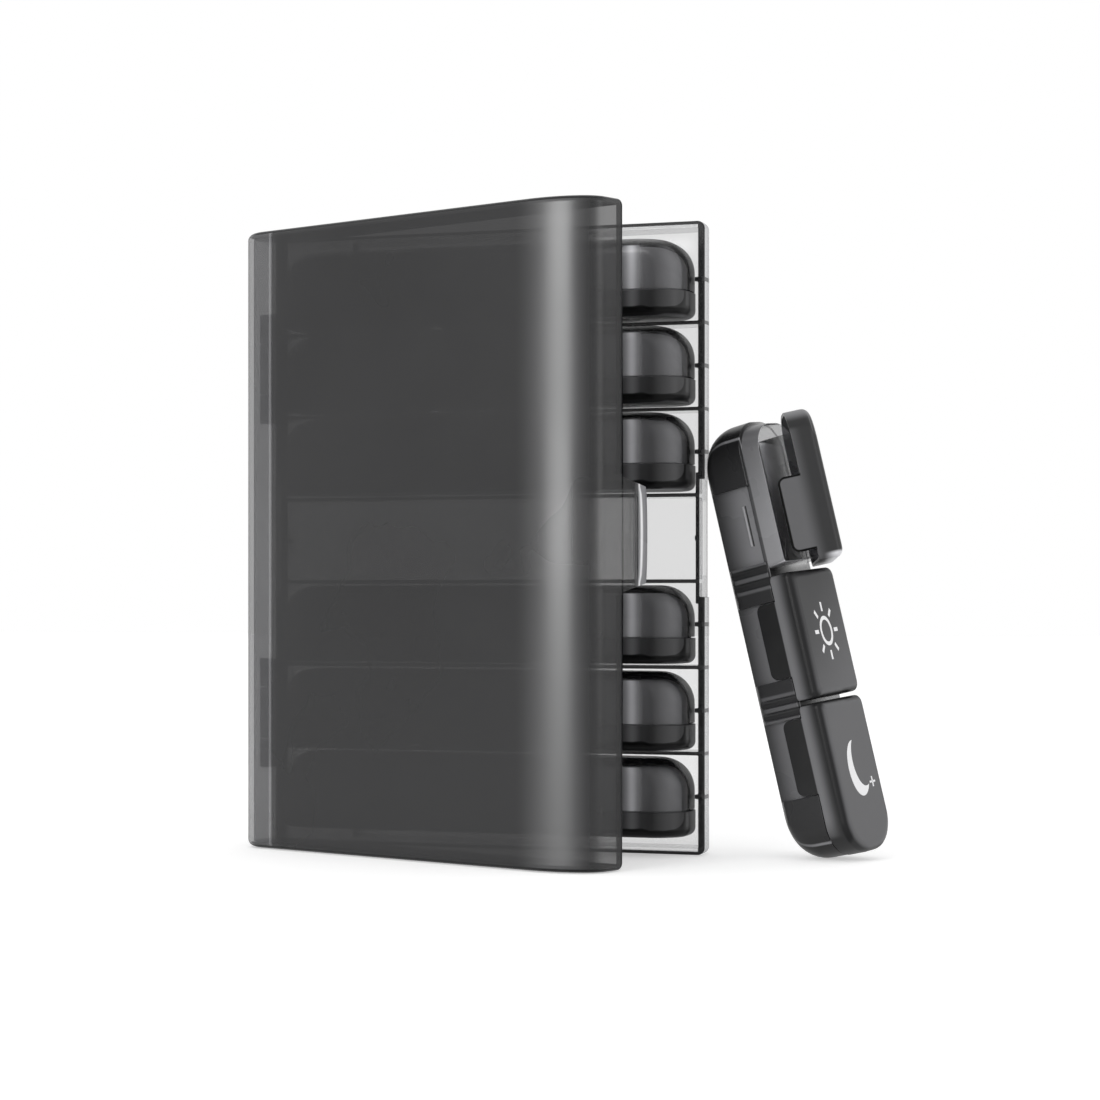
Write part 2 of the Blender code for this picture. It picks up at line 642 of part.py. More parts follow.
def latch_recess_half():
    """Half the height of the tray's recess for the tongue."""
    return TONGUE_ROOT_WIDTH / 2 + TONGUE_SIDE_GAP


def latch_cuts():
    """The shallow recess in the tray's free side wall, and the slot for the tongue's hook."""
    half = latch_recess_half()
    recess = block("recess", (HALF_WIDTH - TONGUE_RECESS_DEPTH, RIM_Y - OVERRUN, MID_HEIGHT - half),
                   (HALF_WIDTH + OVERRUN, TRAY_BACK_Y + OVERRUN, MID_HEIGHT + half))
    slot_low = RIM_Y + CATCH_SLOT_START
    slot_half = CATCH_SLOT_LENGTH / 2
    slot = block("slot", (HALF_WIDTH - TRAY_WALL - OVERRUN, slot_low, MID_HEIGHT - slot_half),
                 (HALF_WIDTH + OVERRUN, slot_low + CATCH_SLOT_DEPTH, MID_HEIGHT + slot_half))
    return [recess, slot]


def latch_tongue():
    """The cover's latch tongue, drawn for the closed cover, with its lip and hook."""
    outer = HALF_WIDTH
    inner = outer - TONGUE_THICKNESS
    end_y = RIM_Y + TONGUE_REACH
    root_y = RIM_Y - TONGUE_ROOT_DEPTH
    root = TONGUE_ROOT_WIDTH / 2
    tip = TONGUE_TIP_WIDTH / 2
    outline = [(root_y, -root), (RIM_Y, -root), (end_y, -tip), (end_y, tip), (RIM_Y, root),
               (root_y, root)]
    plate = along_x(outline, inner, outer, "tongue")
    plate.data.transform(Matrix.Translation((0, 0, MID_HEIGHT)))
    lip_y = end_y - TONGUE_LIP_LENGTH
    sunk = outer - TONGUE_THICKNESS / 2
    rings = []
    for width_share, bulge_share in zip(LIP_WIDTH_SHARES, LIP_BULGE_SHARES):
        crest_x = outer + TONGUE_LIP_BULGE * bulge_share
        ring = [(sunk, lip_y), (sunk, end_y), (crest_x, lip_y + TONGUE_LIP_LENGTH * LIP_END_SHARE),
                (crest_x, lip_y + TONGUE_LIP_LENGTH * LIP_CREST_SHARE)]
        rings.append((list(reversed(ring)), MID_HEIGHT + tip * width_share))
    lip = loft("lip", rings)
    hook_low = RIM_Y + CATCH_SLOT_START + HOOK_HOLD_GAP
    hook_half = CATCH_SLOT_LENGTH / 2 - HOOK_END_GAP
    hook_tip = HALF_WIDTH - TONGUE_RECESS_DEPTH + HOOK_PASS_GAP
    hook = block("hook", (hook_tip, hook_low, MID_HEIGHT - hook_half),
                 (inner + TONGUE_THICKNESS / 2, hook_low + HOOK_LENGTH, MID_HEIGHT + hook_half))
    return settle(plate, [lip, hook], "UNION")


def cover_mesh():
    """The front cover, drawn closed and then moved so that its hinge axis is its origin."""
    open_y = RIM_Y - SHELL_GAP / 2
    panel_y = RIM_Y - COVER_DEPTH
    hinge_corner = (COVER_HINGE_RADIUS, COVER_HINGE_RADIUS)
    free_corner = (COVER_FREE_SWEEP, COVER_FREE_RADIUS)
    cover = loft("cover", shell_rings(-HALF_WIDTH, HALF_WIDTH, open_y, panel_y,
                                      (hinge_corner, free_corner), 0.0, CASE_HEIGHT))
    inner_x = HALF_WIDTH - COVER_WALL
    inner_free = (COVER_FREE_SWEEP - COVER_WALL, COVER_FREE_RADIUS - COVER_WALL)
    radii = (COVER_HINGE_RADIUS - COVER_WALL, inner_free, 0, 0)
    outline = rounded_rectangle(-inner_x, inner_x, panel_y + COVER_WALL, open_y + OVERRUN, radii,
                                (5, 6, 0, 0))
    hollow = loft("hollow", [(outline, COVER_WALL), (outline, CASE_HEIGHT - COVER_WALL)])
    settle(cover, [hollow], "DIFFERENCE")
    additions = [latch_tongue()]
    for middle in station_heights():
        additions.append(knuckle(HINGE_X, RIM_Y, RIM_Y - KNUCKLE_RADIUS, RIM_Y - SHELL_GAP,
                                 -HALF_WIDTH + COVER_WALL / 2, middle - COVER_KNUCKLE_LENGTH / 2,
                                 middle + COVER_KNUCKLE_LENGTH / 2))
    settle(cover, additions, "UNION")
    bores = []
    for middle in station_heights():
        half = COVER_KNUCKLE_LENGTH / 2 + OVERRUN
        bores.append(round_bar("bore", HINGE_X, RIM_Y, HINGE_PIN_RADIUS + HINGE_PIN_PLAY,
                               middle - half, middle + half, 12))
    settle(cover, bores, "DIFFERENCE")
    cover.data.transform(Matrix.Translation((-HINGE_X, -RIM_Y, 0)))
    return take_mesh(cover, "front_cover", SMOOTH_ANGLE)


def add_object(name, mesh, material, parent, place):
    """A named piece with its mesh and material, placed under its parent."""
    piece = bpy.data.objects.new(name, mesh)
    bpy.context.scene.collection.objects.link(piece)
    piece.parent = parent
    piece.matrix_basis = place
    if not mesh.materials:
        mesh.materials.append(None)
    piece.material_slots[0].link = "OBJECT"
    piece.material_slots[0].material = material
    return piece


def add_empty(name, place):
    """An empty that stands on a joint's axis and carries the pieces that move about it."""
    empty = bpy.data.objects.new(name, None)
    bpy.context.scene.collection.objects.link(empty)
    empty.matrix_basis = place
    return empty


def stored_axes():
    """A stored box lies along X with its base up and its hinge side towards the cover."""
    return Matrix(((1, 0, 0), (0, -1, 0), (0, 0, -1)))


def leaning_axes():
    """The box that is out stands on its night end, turned towards the viewer, and leans."""
    sine = math.sin(WEDNESDAY_TURN)
    cosine = math.cos(WEDNESDAY_TURN)
    upright = Matrix(((0, sine, cosine), (0, cosine, -sine), (-1, 0, 0)))
    return Matrix.Rotation(-WEDNESDAY_LEAN, 3, "Y") @ upright


def surface(mesh, points):
    """A mesh's surface, ready to be met by straight lines."""
    return BVHTree.FromPolygons(points, [tuple(face.vertices) for face in mesh.polygons])


def leaning_place(mesh, tray):
    """Stand the box on the floor and slide it towards the tray until it is a small gap off it."""
    axes = leaning_axes()
    points = [axes @ vertex.co for vertex in mesh.vertices]
    touch = min(points, key=lambda point: point.x)
    low_z = min(point.z for point in points)
    shift = Vector((HALF_WIDTH + OVERRUN - touch.x, TRAY_OPEN_Y + WEDNESDAY_FORWARD - touch.y, -low_z))
    points = [point + shift for point in points]
    tray_points = [vertex.co for vertex in tray.vertices]
    towards = Vector((-1, 0, 0))
    rooms = [surface(tray, tray_points).ray_cast(point, towards)[3] for point in points]
    rooms += [surface(mesh, points).ray_cast(point, -towards)[3] for point in tray_points]
    room = min(distance for distance in rooms if distance is not None)
    return Matrix.Translation(shift + towards * (room - LEAN_GAP)) @ axes.to_4x4()


def add_day(day, index, meshes, materials):
    """One day's body and three lids, stored in its bay or leaning on the case."""
    if day == "wednesday":
        place = leaning_place(meshes["box"], meshes["tray"])
        anchor = place.copy()
    else:
        top = bay_height(index) + BOX_HEIGHT / 2
        place = Matrix.Translation((0, BOX_MID_Y, top)) @ stored_axes().to_4x4()
        anchor = Matrix.Translation((-HALF_LENGTH + LID_CORNER, BOX_MID_Y - HALF_BOX,
                                     bay_height(index)))
    holder = add_empty(day + "_place", anchor)
    from_holder = anchor.inverted() @ place
    add_object(day + "_box", meshes["box"], materials["box"], holder, from_holder)
    for meal in MEALS:
        hinge = Matrix.Translation((tab_place(meal), LID_AXIS_U, LID_AXIS_V))
        swing = Matrix.Identity(4)
        if day == "wednesday" and meal == "morning":
            swing = Matrix.Rotation(-WEDNESDAY_LID_OPEN, 4, "X")
        add_object(day + "_" + meal + "_lid", meshes[meal], materials["lid"], holder,
                   from_holder @ hinge @ swing)


def build_model():
    """Make every piece and put it in its place."""
    clear_scene()
    materials = {"tray": make_material("clear smoke", (0.45, 0.44, 0.47), 0.2),
                 "cover": make_material("dark smoke", (0.05, 0.048, 0.052), 0.3),
                 "box": make_material("black smoke", (0.03, 0.03, 0.032), 0.28),
                 "lid": make_material("black plastic", (0.055, 0.055, 0.058), 0.35),
                 "pin": make_material("steel pin", (0.35, 0.35, 0.36), 0.35)}
    identity = Matrix.Identity(4)
    meshes = {meal: lid_mesh(meal) for meal in MEALS}
    meshes["box"] = day_box_mesh()
    meshes["tray"] = tray_mesh()
    add_object("rear_tray", meshes["tray"], materials["tray"], None, identity)
    axis = Matrix.Translation((HINGE_X, RIM_Y, 0))
    cover_axis = add_empty("cover_axis", axis @ Matrix.Rotation(-COVER_REST_OPEN, 4, "Z"))
    add_object("front_cover", cover_mesh(), materials["cover"], cover_axis, identity)
    for name, middle in zip(("lower_hinge_pin", "upper_hinge_pin"), station_heights()):
        low = middle - HINGE_STATION_LENGTH / 2 + KNUCKLE_FLOOR + HINGE_PIN_PLAY
        high = middle + HINGE_STATION_LENGTH / 2
        pin = round_bar(name, 0, 0, HINGE_PIN_RADIUS, 0, high - low, 12)
        mesh = take_mesh(pin, name, SMOOTH_ANGLE)
        add_object(name, mesh, materials["pin"], None, Matrix.Translation((HINGE_X, RIM_Y, low)))
    for index, day in enumerate(DAYS):
        add_day(day, index, meshes, materials)


build_model()
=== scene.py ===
# %% [markdown]
# # A seven-day pill organizer
# A hinged case of smoky plastic stands on its end with its cover part open. Six day boxes lie in
# its bays, and one leans on its side with a lid open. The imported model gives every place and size,
# and this lesson makes finer pieces in the same places: a box, three lids, the tray and the cover.

# %% Load the frame
import json
import math

import bmesh
import bpy
from mathutils import Matrix, Vector

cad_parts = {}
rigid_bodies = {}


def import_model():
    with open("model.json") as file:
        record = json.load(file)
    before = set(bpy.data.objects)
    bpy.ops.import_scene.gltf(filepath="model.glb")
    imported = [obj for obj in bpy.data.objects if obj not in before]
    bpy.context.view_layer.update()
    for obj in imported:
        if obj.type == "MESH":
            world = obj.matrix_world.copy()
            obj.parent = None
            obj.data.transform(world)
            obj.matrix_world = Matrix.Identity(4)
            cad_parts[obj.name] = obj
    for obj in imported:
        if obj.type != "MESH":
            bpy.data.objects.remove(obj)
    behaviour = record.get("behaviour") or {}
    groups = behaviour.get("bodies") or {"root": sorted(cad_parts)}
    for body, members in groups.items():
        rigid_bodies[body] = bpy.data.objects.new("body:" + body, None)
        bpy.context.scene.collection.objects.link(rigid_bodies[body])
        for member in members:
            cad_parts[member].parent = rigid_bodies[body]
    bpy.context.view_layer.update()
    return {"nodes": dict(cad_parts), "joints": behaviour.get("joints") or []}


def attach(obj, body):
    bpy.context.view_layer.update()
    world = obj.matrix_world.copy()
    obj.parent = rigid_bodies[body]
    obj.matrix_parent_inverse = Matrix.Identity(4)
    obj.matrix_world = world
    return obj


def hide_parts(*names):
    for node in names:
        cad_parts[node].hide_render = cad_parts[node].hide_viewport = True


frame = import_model()
MM = 0.001
DAYS = ["sunday", "monday", "tuesday", "wednesday", "thursday", "friday", "saturday"]
MEALS = ["morning", "noon", "night"]
HINGES = {joint["name"]: joint for joint in frame["joints"]}

# %% [markdown]
# ## The camera
# A product picture of a tall thing is taken with a long lens, level, from a little below the
# middle, so that the upright edges stay upright. The small shift keeps the object in the middle.
# It could be tilted down instead, but then the edges would lean together.

# %% Camera
camera_data = bpy.data.cameras.new("camera")
camera_data.lens = 88.36
camera_data.sensor_width = 36.0
camera_data.shift_y = 0.0427
camera = bpy.data.objects.new("camera", camera_data)
camera.location = (0.2613, -0.7109, 0.070)
camera.rotation_euler = (math.pi / 2, 0.0, math.radians(19.0))
bpy.context.scene.collection.objects.link(camera)
bpy.context.scene.camera = camera
bpy.context.scene.view_settings.view_transform = "Standard"

# %% [markdown]
# ## Tools for working by hand
# Moulded plastic parts are prisms with rounded corners, drawn in towards their ends. So most pieces
# here start as a flat plate with rounded corners, which is pulled up in steps and scaled at each
# step. Plain blocks cut recesses. These helpers do one hand movement each.

# %% Selecting
def only(piece):
    """Make a piece the one that is selected."""
    bpy.ops.object.select_all(action="DESELECT")
    piece.select_set(True)
    bpy.context.view_layer.objects.active = piece


def open_up(piece):
    """Go into edit mode with nothing selected."""
    only(piece)
    bpy.ops.object.mode_set(mode="EDIT")
    bpy.ops.mesh.select_all(action="DESELECT")


def close_up():
    bpy.ops.object.mode_set(mode="OBJECT")


def pick(piece, kind, wanted):
    """Select the corners, edges or faces whose middle passes a test of place."""
    bpy.ops.mesh.select_mode(type={"verts": "VERT", "edges": "EDGE", "faces": "FACE"}[kind])
    bpy.ops.mesh.select_all(action="DESELECT")
    shape = bmesh.from_edit_mesh(piece.data)
    for item in getattr(shape, kind):
        if kind == "verts":
            item.select_set(bool(wanted(item.co)))
        elif kind == "edges":
            a, b = item.verts[0].co, item.verts[1].co
            item.select_set(bool(wanted(a, b)))
        else:
            item.select_set(bool(wanted(item.calc_center_median(), item.normal)))
    shape.select_flush_mode()
    bmesh.update_edit_mesh(piece.data)


# %% Blocks and plates
def settle(piece):
    """Put a piece's place and size into its mesh."""
    only(piece)
    bpy.ops.object.transform_apply(location=True, rotation=True, scale=True)
    return piece


def slab(name, low, high):
    """A block between two corners, in millimetres."""
    low, high = Vector(low) * MM, Vector(high) * MM
    bpy.ops.mesh.primitive_cube_add(size=1, location=(low + high) / 2)
    piece = bpy.context.object
    piece.name = name
    piece.scale = high - low
    return settle(piece)


def plate(name, low, high, level, corners=()):
    """A flat plate. Each corner in the list, as (x, y, radius), is rounded."""
    low, high = Vector((*low, level)) * MM, Vector((*high, level)) * MM
    bpy.ops.mesh.primitive_plane_add(size=1, location=(low + high) / 2)
    piece = bpy.context.object
    piece.name = name
    piece.scale = (high.x - low.x, high.y - low.y, 1)
    settle(piece)
    for x, y, radius in corners:
        open_up(piece)
        place = Vector((x, y, level)) * MM
        pick(piece, "verts", lambda co: (co - place).length < 0.01 * MM)
        bpy.ops.mesh.bevel(offset=radius * MM, segments=max(4, int(radius * 3)), affect="VERTICES")
        close_up()
    return piece


def pull(piece, steps, centre=(0, 0)):
    """Pull the whole plate up through levels, scaling it at each, as (height, width, depth)."""
    open_up(piece)
    bpy.ops.mesh.select_all(action="SELECT")
    shape = bmesh.from_edit_mesh(piece.data)
    level = shape.verts[:][0].co.z
    width, depth = 1.0, 1.0
    for height, new_width, new_depth in steps:
        bpy.ops.mesh.extrude_region_move(
            TRANSFORM_OT_translate={"value": (0, 0, height * MM - level)})
        bpy.ops.transform.resize(value=(new_width / width, new_depth / depth, 1),
                                 center_override=(centre[0] * MM, centre[1] * MM, 0))
        level, width, depth = height * MM, new_width, new_depth
    bpy.ops.mesh.select_all(action="SELECT")
    bpy.ops.mesh.normals_make_consistent(inside=False)
    close_up()
    return piece


# %% Joining and cutting
def apply(piece, name):
    only(piece)
    bpy.ops.object.modifier_apply(modifier=name)


def combine(piece, tools, operation):
    """Cut tools from a piece, or join them to it, and throw the tools away."""
    for tool in tools:
        change = piece.modifiers.new("change", "BOOLEAN")
        change.operation = operation
        change.solver = "EXACT"
        change.object = tool
        apply(piece, change.name)
        bpy.data.objects.remove(tool, do_unlink=True)
    return piece


def gather(name, pieces):
    """Make separate pieces one object, without joining their surfaces."""
    bpy.ops.object.select_all(action="DESELECT")
    for piece in pieces:
        piece.select_set(True)
    bpy.context.view_layer.objects.active = pieces[0]
    bpy.ops.object.join()
    pieces[0].name = name
    return pieces[0]


def round_bar(name, middle, radius, length, axis, sides=32):
    """A round bar about a point in millimetres, along x, y or z."""
    turn = {"x": (0, math.pi / 2, 0), "y": (math.pi / 2, 0, 0), "z": (0, 0, 0)}[axis]
    bpy.ops.mesh.primitive_cylinder_add(vertices=sides, radius=radius * MM, depth=length * MM,
                                        location=Vector(middle) * MM, rotation=turn)
    bpy.context.object.name = name
    return settle(bpy.context.object)


def soften(piece, width, segments=2, angle=35):
    """Round every sharp edge a little, as a mould does, and shade the piece smooth."""
    open_up(piece)
    bpy.ops.mesh.select_all(action="SELECT")
    bpy.ops.mesh.remove_doubles(threshold=0.0005 * MM)
    bpy.ops.mesh.dissolve_limited(angle_limit=math.radians(0.3))
    close_up()
    bevel = piece.modifiers.new("edges", "BEVEL")
    bevel.width = width * MM
    bevel.segments = segments
    bevel.limit_method = "ANGLE"
    bevel.angle_limit = math.radians(angle)
    bevel.use_clamp_overlap = False
    bevel.harden_normals = False
    apply(piece, bevel.name)
    only(piece)
    bpy.ops.object.shade_smooth_by_angle(angle=math.radians(45))
    even = piece.modifiers.new("even", "WEIGHTED_NORMAL")
    even.keep_sharp = True
    apply(piece, even.name)
    return piece


def quarter(level, radius):
    """How far a wall stands back at a height above a face, where a radius joins the two."""
    return 0.0 if level >= radius else radius - math.sqrt(radius ** 2 - (radius - level) ** 2)


def mark_spots(piece):
    """Keep each point's place in the box's own drawing, for the finishes."""
    spots = piece.data.attributes.new("spot", "FLOAT_VECTOR", "POINT")
    for point, spot in zip(piece.data.vertices, spots.data):
        spot.vector = point.co / MM
    return piece


# %% [markdown]
# ## The body of a day box
# The real body is one moulding: a long tray with round ends, three separate wells, and a raised
# collar round each well that the lid closes over. It is drawn lying along x, with its base down.
# A plate with round corners is pulled down in steps that follow the base's rounding.

# %% Sizes of a box
HALF_LENGTH, HALF_BOX = 59.7, 11.0
STEP_BACK = 0.15
BODY_HEIGHT, BOX_HEIGHT = 14.0, 21.2
BOX_WALL, PLAN_RADIUS = 2.2, 9.0
BASE_END, BASE_SIDE = 8.9, 4.6
LID_START, MIDDLE_HALF = 18.2, 17.2
TAB_PLACES = {"morning": -31.7, "noon": 0.0, "night": 31.7}
AXIS_U, AXIS_V = 11.1, 13.8


def outline(meal, inset, level, name):
    """A plate with a compartment's outline, drawn in by an inset."""
    width, corner, plan = HALF_BOX - inset, 1.6 - inset / 2, PLAN_RADIUS - inset
    if meal == "noon":
        half = MIDDLE_HALF - inset
        corners = [(x, y, corner) for x in (-half, half) for y in (-width, width)]
        return plate(name, (-half, -width), (half, width), level, corners)
    side = 1 if meal == "night" else -1
    near, far = side * (LID_START + inset), side * (HALF_LENGTH - inset)
    corners = [(near, y, corner) for y in (-width, width)] + [(far, y, plan) for y in (-width, width)]
    return plate(name, (min(near, far), -width), (max(near, far), width), level, corners)


# %% Base of the body
long, wide = HALF_LENGTH - STEP_BACK, HALF_BOX - STEP_BACK
ends = [(x, y, PLAN_RADIUS) for x in (-long, long) for y in (-wide, wide)]
body = plate("body", (-long, -wide), (long, wide), BODY_HEIGHT, ends)
steps = [(BASE_END, 1.0, 1.0)]
for index in range(1, 13):
    height = BASE_END * (1 - math.sin(index * math.pi / 24))
    steps.append((height, (long - quarter(height, BASE_END)) / long,
                  (wide - quarter(height, BASE_SIDE)) / wide))
pull(body, steps)
print("body:", len(body.data.vertices), "points")

# %% Fingertip recesses and grooved bands
cutters = []
for meal in MEALS:
    middle = TAB_PLACES[meal]
    cutters.append(slab("recess", (middle - 10.5, -14, -3), (middle + 10.5, -HALF_BOX + 1.5, 17)))
for joint in (-17.7, 17.7):
    for shift in (-1.7, 1.7):
        cutters.append(round_bar("groove", (joint + shift, -11.2, 9.5), 1.15, 15, "z"))
combine(body, [gather("cutters", cutters)], "DIFFERENCE")

# %% Collars
collars = []
for meal in MEALS:
    collar = outline(meal, 1.2, BODY_HEIGHT - 1, "collar")
    centre = TAB_PLACES["noon"] if meal == "noon" else (38.95 if meal == "night" else -38.95)
    half = 16.0 if meal == "noon" else 19.55
    pull(collar, [(BODY_HEIGHT, 1, 1), (BODY_HEIGHT + 5, (half - 0.6) / half, 9.2 / 9.8)], (centre, 0))
    collars.append(collar)
pockets = [slab("pocket", (TAB_PLACES[meal] - 6.5, 9.8, 12.5), (TAB_PLACES[meal] + 6.5, 14, 17))
           for meal in MEALS]
combine(body, [gather("pockets", pockets)], "DIFFERENCE")
combine(body, [gather("collars", collars)], "UNION")

# %% Hinge clips
clips = []
for meal in MEALS:
    middle = (TAB_PLACES[meal], AXIS_U, AXIS_V)
    clip = round_bar("clip", middle, 1.5, 8, "x")
    mouth = slab("mouth", (middle[0] - 5, AXIS_U + 0.2, AXIS_V - 1.1),
                 (middle[0] + 5, AXIS_U + 3, AXIS_V + 1.1))
    open_up(mouth)
    bpy.ops.mesh.select_all(action="SELECT")
    bpy.ops.transform.rotate(value=-math.radians(35), orient_axis="X",
                             center_override=Vector(middle) * MM)
    close_up()
    combine(clip, [mouth], "DIFFERENCE")
    clips.append(clip)
combine(body, [gather("clips", clips)], "UNION")
combine(body, [gather("bores", [round_bar("bore", (TAB_PLACES[meal], AXIS_U, AXIS_V), 0.9, 9, "x")
                                for meal in MEALS])], "DIFFERENCE")

# %% Wells
wells = []
for meal in MEALS:
    well = outline(meal, BOX_WALL, BODY_HEIGHT + 8, "well")
    side = {"morning": -1, "noon": 0, "night": 1}[meal]
    near = 15.0 if side == 0 else 20.4
    far = 15.0 if side == 0 else 57.5
    steps = [(BASE_END, 1.0, 1.0)]
    for index in range(1, 9):
        rise = (BASE_END - BOX_WALL) * (1 - math.sin(index * math.pi / 16))
        drawn = quarter(rise, BASE_SIDE - BOX_WALL)
        end = drawn if side == 0 else quarter(rise, BASE_END - BOX_WALL)
        steps.append((BOX_WALL + rise, (far - end - near) / (far - near) if side else
                      (far - drawn) / far, (8.8 - drawn) / 8.8))
    pull(well, steps, (side * near, 0))
    wells.append(well)
combine(body, [gather("wells", wells)], "DIFFERENCE")

# %% Catch ridges and softened edges
def inside(point):
    """1 on the skin of a well, 0 on the outside of the box."""
    s, u, v = abs(point.x) / MM, abs(point.y) / MM, point.z / MM
    plan = math.hypot(max(s - 50.7, 0), max(u - 2.0, 0)) - 9.0
    end = math.hypot(max(s - 51.2, 0), max(8.5 - v, 0)) - 8.5
    side = math.hypot(max(u - 7.0, 0), max(4.0 - v, 0)) - 4.0
    return 1.0 if max(plan, end, side) < -2.0 and not 15.2 < s < 20.2 else 0.0


ridges = [slab("ridge", (TAB_PLACES[meal] - 5.5, -9.8, 10.0), (TAB_PLACES[meal] + 5.5, -9.2, 10.8))
          for meal in MEALS]
combine(body, [gather("ridges", ridges)], "UNION")
soften(body, 0.18)
mark_spots(body)
wells_skin = body.data.attributes.new("inside", "FLOAT", "POINT")
for point, share in zip(body.data.vertices, wells_skin.data):
    share.value = inside(point.co)
print("body:", len(body.data.polygons), "faces")

# %% [markdown]
# ## The snap lids
# A lid is a shallow cap that fits over a collar. A tab hangs from its near wall and snaps under the
# ridge in the recess, and two ears with a bar between them turn in the clip behind. The cap is a
# plate pulled up with a rounded top edge, and its underside is inset and pushed up to hollow it.

# %% The cap
TAB_TIP, LID_RIM = 8.0, 14.3


def lid_cap(meal):
    cap = outline(meal, 0.0, LID_RIM, meal + " lid")
    centre = {"morning": -38.95, "noon": 0.0, "night": 38.95}[meal]
    half = MIDDLE_HALF if meal == "noon" else 20.75
    steps = [(19.0, 1.0, 1.0)]
    for index in range(1, 7):
        inset = 2.2 * (1 - math.cos(index * math.pi / 12))
        steps.append((19.0 + 2.2 * math.sin(index * math.pi / 12), (half - inset) / half,
                      (HALF_BOX - inset) / HALF_BOX))
    pull(cap, steps, (centre, 0))
    open_up(cap)
    pick(cap, "faces", lambda middle, normal: normal.z < -0.9)
    bpy.ops.mesh.inset(thickness=0.9 * MM)
    bpy.ops.mesh.extrude_region_move(TRANSFORM_OT_translate={"value": (0, 0, 5.7 * MM)})
    bpy.ops.mesh.select_all(action="SELECT")
    bpy.ops.mesh.normals_make_consistent(inside=False)
    close_up()
    return cap


# %% Tab, ears and bar
def lid_tab(middle):
    tab = slab("tab", (middle - 10.2, -HALF_BOX, TAB_TIP), (middle + 10.2, -10.2, LID_RIM + 1))
    open_up(tab)
    pick(tab, "edges", lambda a, b: a.z < (TAB_TIP + 0.1) * MM and b.z < (TAB_TIP + 0.1) * MM
         and abs(a.x - b.x) < 0.1 * MM)
    bpy.ops.mesh.bevel(offset=2 * MM, segments=7, affect="EDGES")
    close_up()
    bead = slab("bead", (middle - 5, -10.4, TAB_TIP + 0.5), (middle + 5, -10.0, TAB_TIP + 1.3))
    return combine(tab, [bead], "UNION")


def lid_ears(middle):
    ears = []
    for side in (-1, 1):
        x = middle + side * 5.25
        ear = slab("ear", (x - 0.75, 10.1, AXIS_V), (x + 0.75, 11.2, AXIS_V + 1.9))
        foot = round_bar("foot", (x, AXIS_U, AXIS_V), 1.0, 1.5, "x")
        ears.append(combine(ear, [foot], "UNION"))
    return ears + [round_bar("bar", (middle, AXIS_U, AXIS_V), 0.6, 10.5, "x")]


lids = {}
for meal in MEALS:
    lid, middle = lid_cap(meal), TAB_PLACES[meal]
    notch = slab("notch", (middle - 4.5, 8.1, 12.3), (middle + 4.5, 13.0, AXIS_V + 1.8))
    combine(lid, [notch], "DIFFERENCE")
    combine(lid, [lid_tab(middle)] + lid_ears(middle), "UNION")
    lids[meal] = mark_spots(soften(lid, 0.15))
print({meal: len(lid.data.polygons) for meal, lid in lids.items()})

# %% [markdown]
# ## The printed signs
# White signs on the lids say when to take what is inside, and a number on each box gives its day.
# Ink has no thickness to speak of, so each sign is a very thin slice that stands a hair above the
# plastic. The sun is a ring with eight rays, and the moon is a disc with another one cut out of it.

# %% Thin slices
INK_LOW, INK_HIGH = 21.1, 21.24


def disc(name, s, u, radius, stretch=1.0):
    """A thin disc on a lid's top, which may be longer along the box than across it."""
    slice_of = round_bar(name, (s, u, (INK_LOW + INK_HIGH) / 2), radius, INK_HIGH - INK_LOW, "z", 48)
    open_up(slice_of)
    bpy.ops.mesh.select_all(action="SELECT")
    bpy.ops.transform.resize(value=(stretch, 1, 1), center_override=(s * MM, u * MM, 0))
    close_up()
    return slice_of


def ray(s, u, angle, start, end, width, stretch=1.0):
    stroke = slab("ray", (s + start, u - width / 2, INK_LOW), (s + end, u + width / 2, INK_HIGH))
    open_up(stroke)
    bpy.ops.mesh.select_all(action="SELECT")
    centre = (s * MM, u * MM, 0)
    bpy.ops.transform.rotate(value=-angle, orient_axis="Z", center_override=centre)
    bpy.ops.transform.resize(value=(stretch, 1, 1), center_override=centre)
    close_up()
    return stroke


# %% Sun, rising sun and moon
def ring(s, u, radius, width, stretch):
    rim = disc("ring", s, u, radius, stretch)
    hole = disc("hole", s, u, radius - width, stretch)
    only(hole)
    bpy.ops.transform.resize(value=(1, 1, 3), center_override=(0, 0, 21.17 * MM))
    settle(hole)
    return combine(rim, [hole], "DIFFERENCE")


def sun_sign(s, u):
    rays = [ray(s, u, index * math.pi / 4, 3.8, 5.6, 0.75, 1.4) for index in range(8)]
    return gather("sun", [ring(s, u, 2.9, 0.75, 1.4)] + rays)


def rising_sign(s, u):
    dome = ring(s, u, 3.0, 0.6, 1.2)
    half = slab("half", (s - 0.01, u - 6, 20), (s + 6, u + 6, 22))
    combine(dome, [half], "DIFFERENCE")
    rays = [ray(s, u, math.pi + index * math.pi / 5, 3.9, 5.2, 0.6, 1.3) for index in (-2, -1, 0, 1, 2)]
    ground = slab("ground", (s + 0.8, u - 4.6, INK_LOW), (s + 1.4, u + 4.6, INK_HIGH))
    return gather("rising sun", [dome, ground] + rays)


def moon_sign(s, u):
    moon = disc("moon", s, u - 0.5, 4.6, 1.65)
    bite = disc("bite", s - 1.8, u + 1.7, 4.2, 1.65)
    only(bite)
    bpy.ops.transform.resize(value=(1, 1, 3), center_override=(0, 0, 21.17 * MM))
    settle(bite)
    combine(moon, [bite], "DIFFERENCE")
    star = [ray(s + 4.4, u + 5.0, index * math.pi / 2, 0.0, 1.4, 0.55) for index in range(4)]
    return gather("moon", [moon] + star)


signs = {"morning": rising_sign(-37.5, 0.0), "noon": sun_sign(0.0, 0.0), "night": moon_sign(37.5, 0.6)}
for sign in signs.values():
    mark_spots(sign)
print({meal: len(sign.data.polygons) for meal, sign in signs.items()})


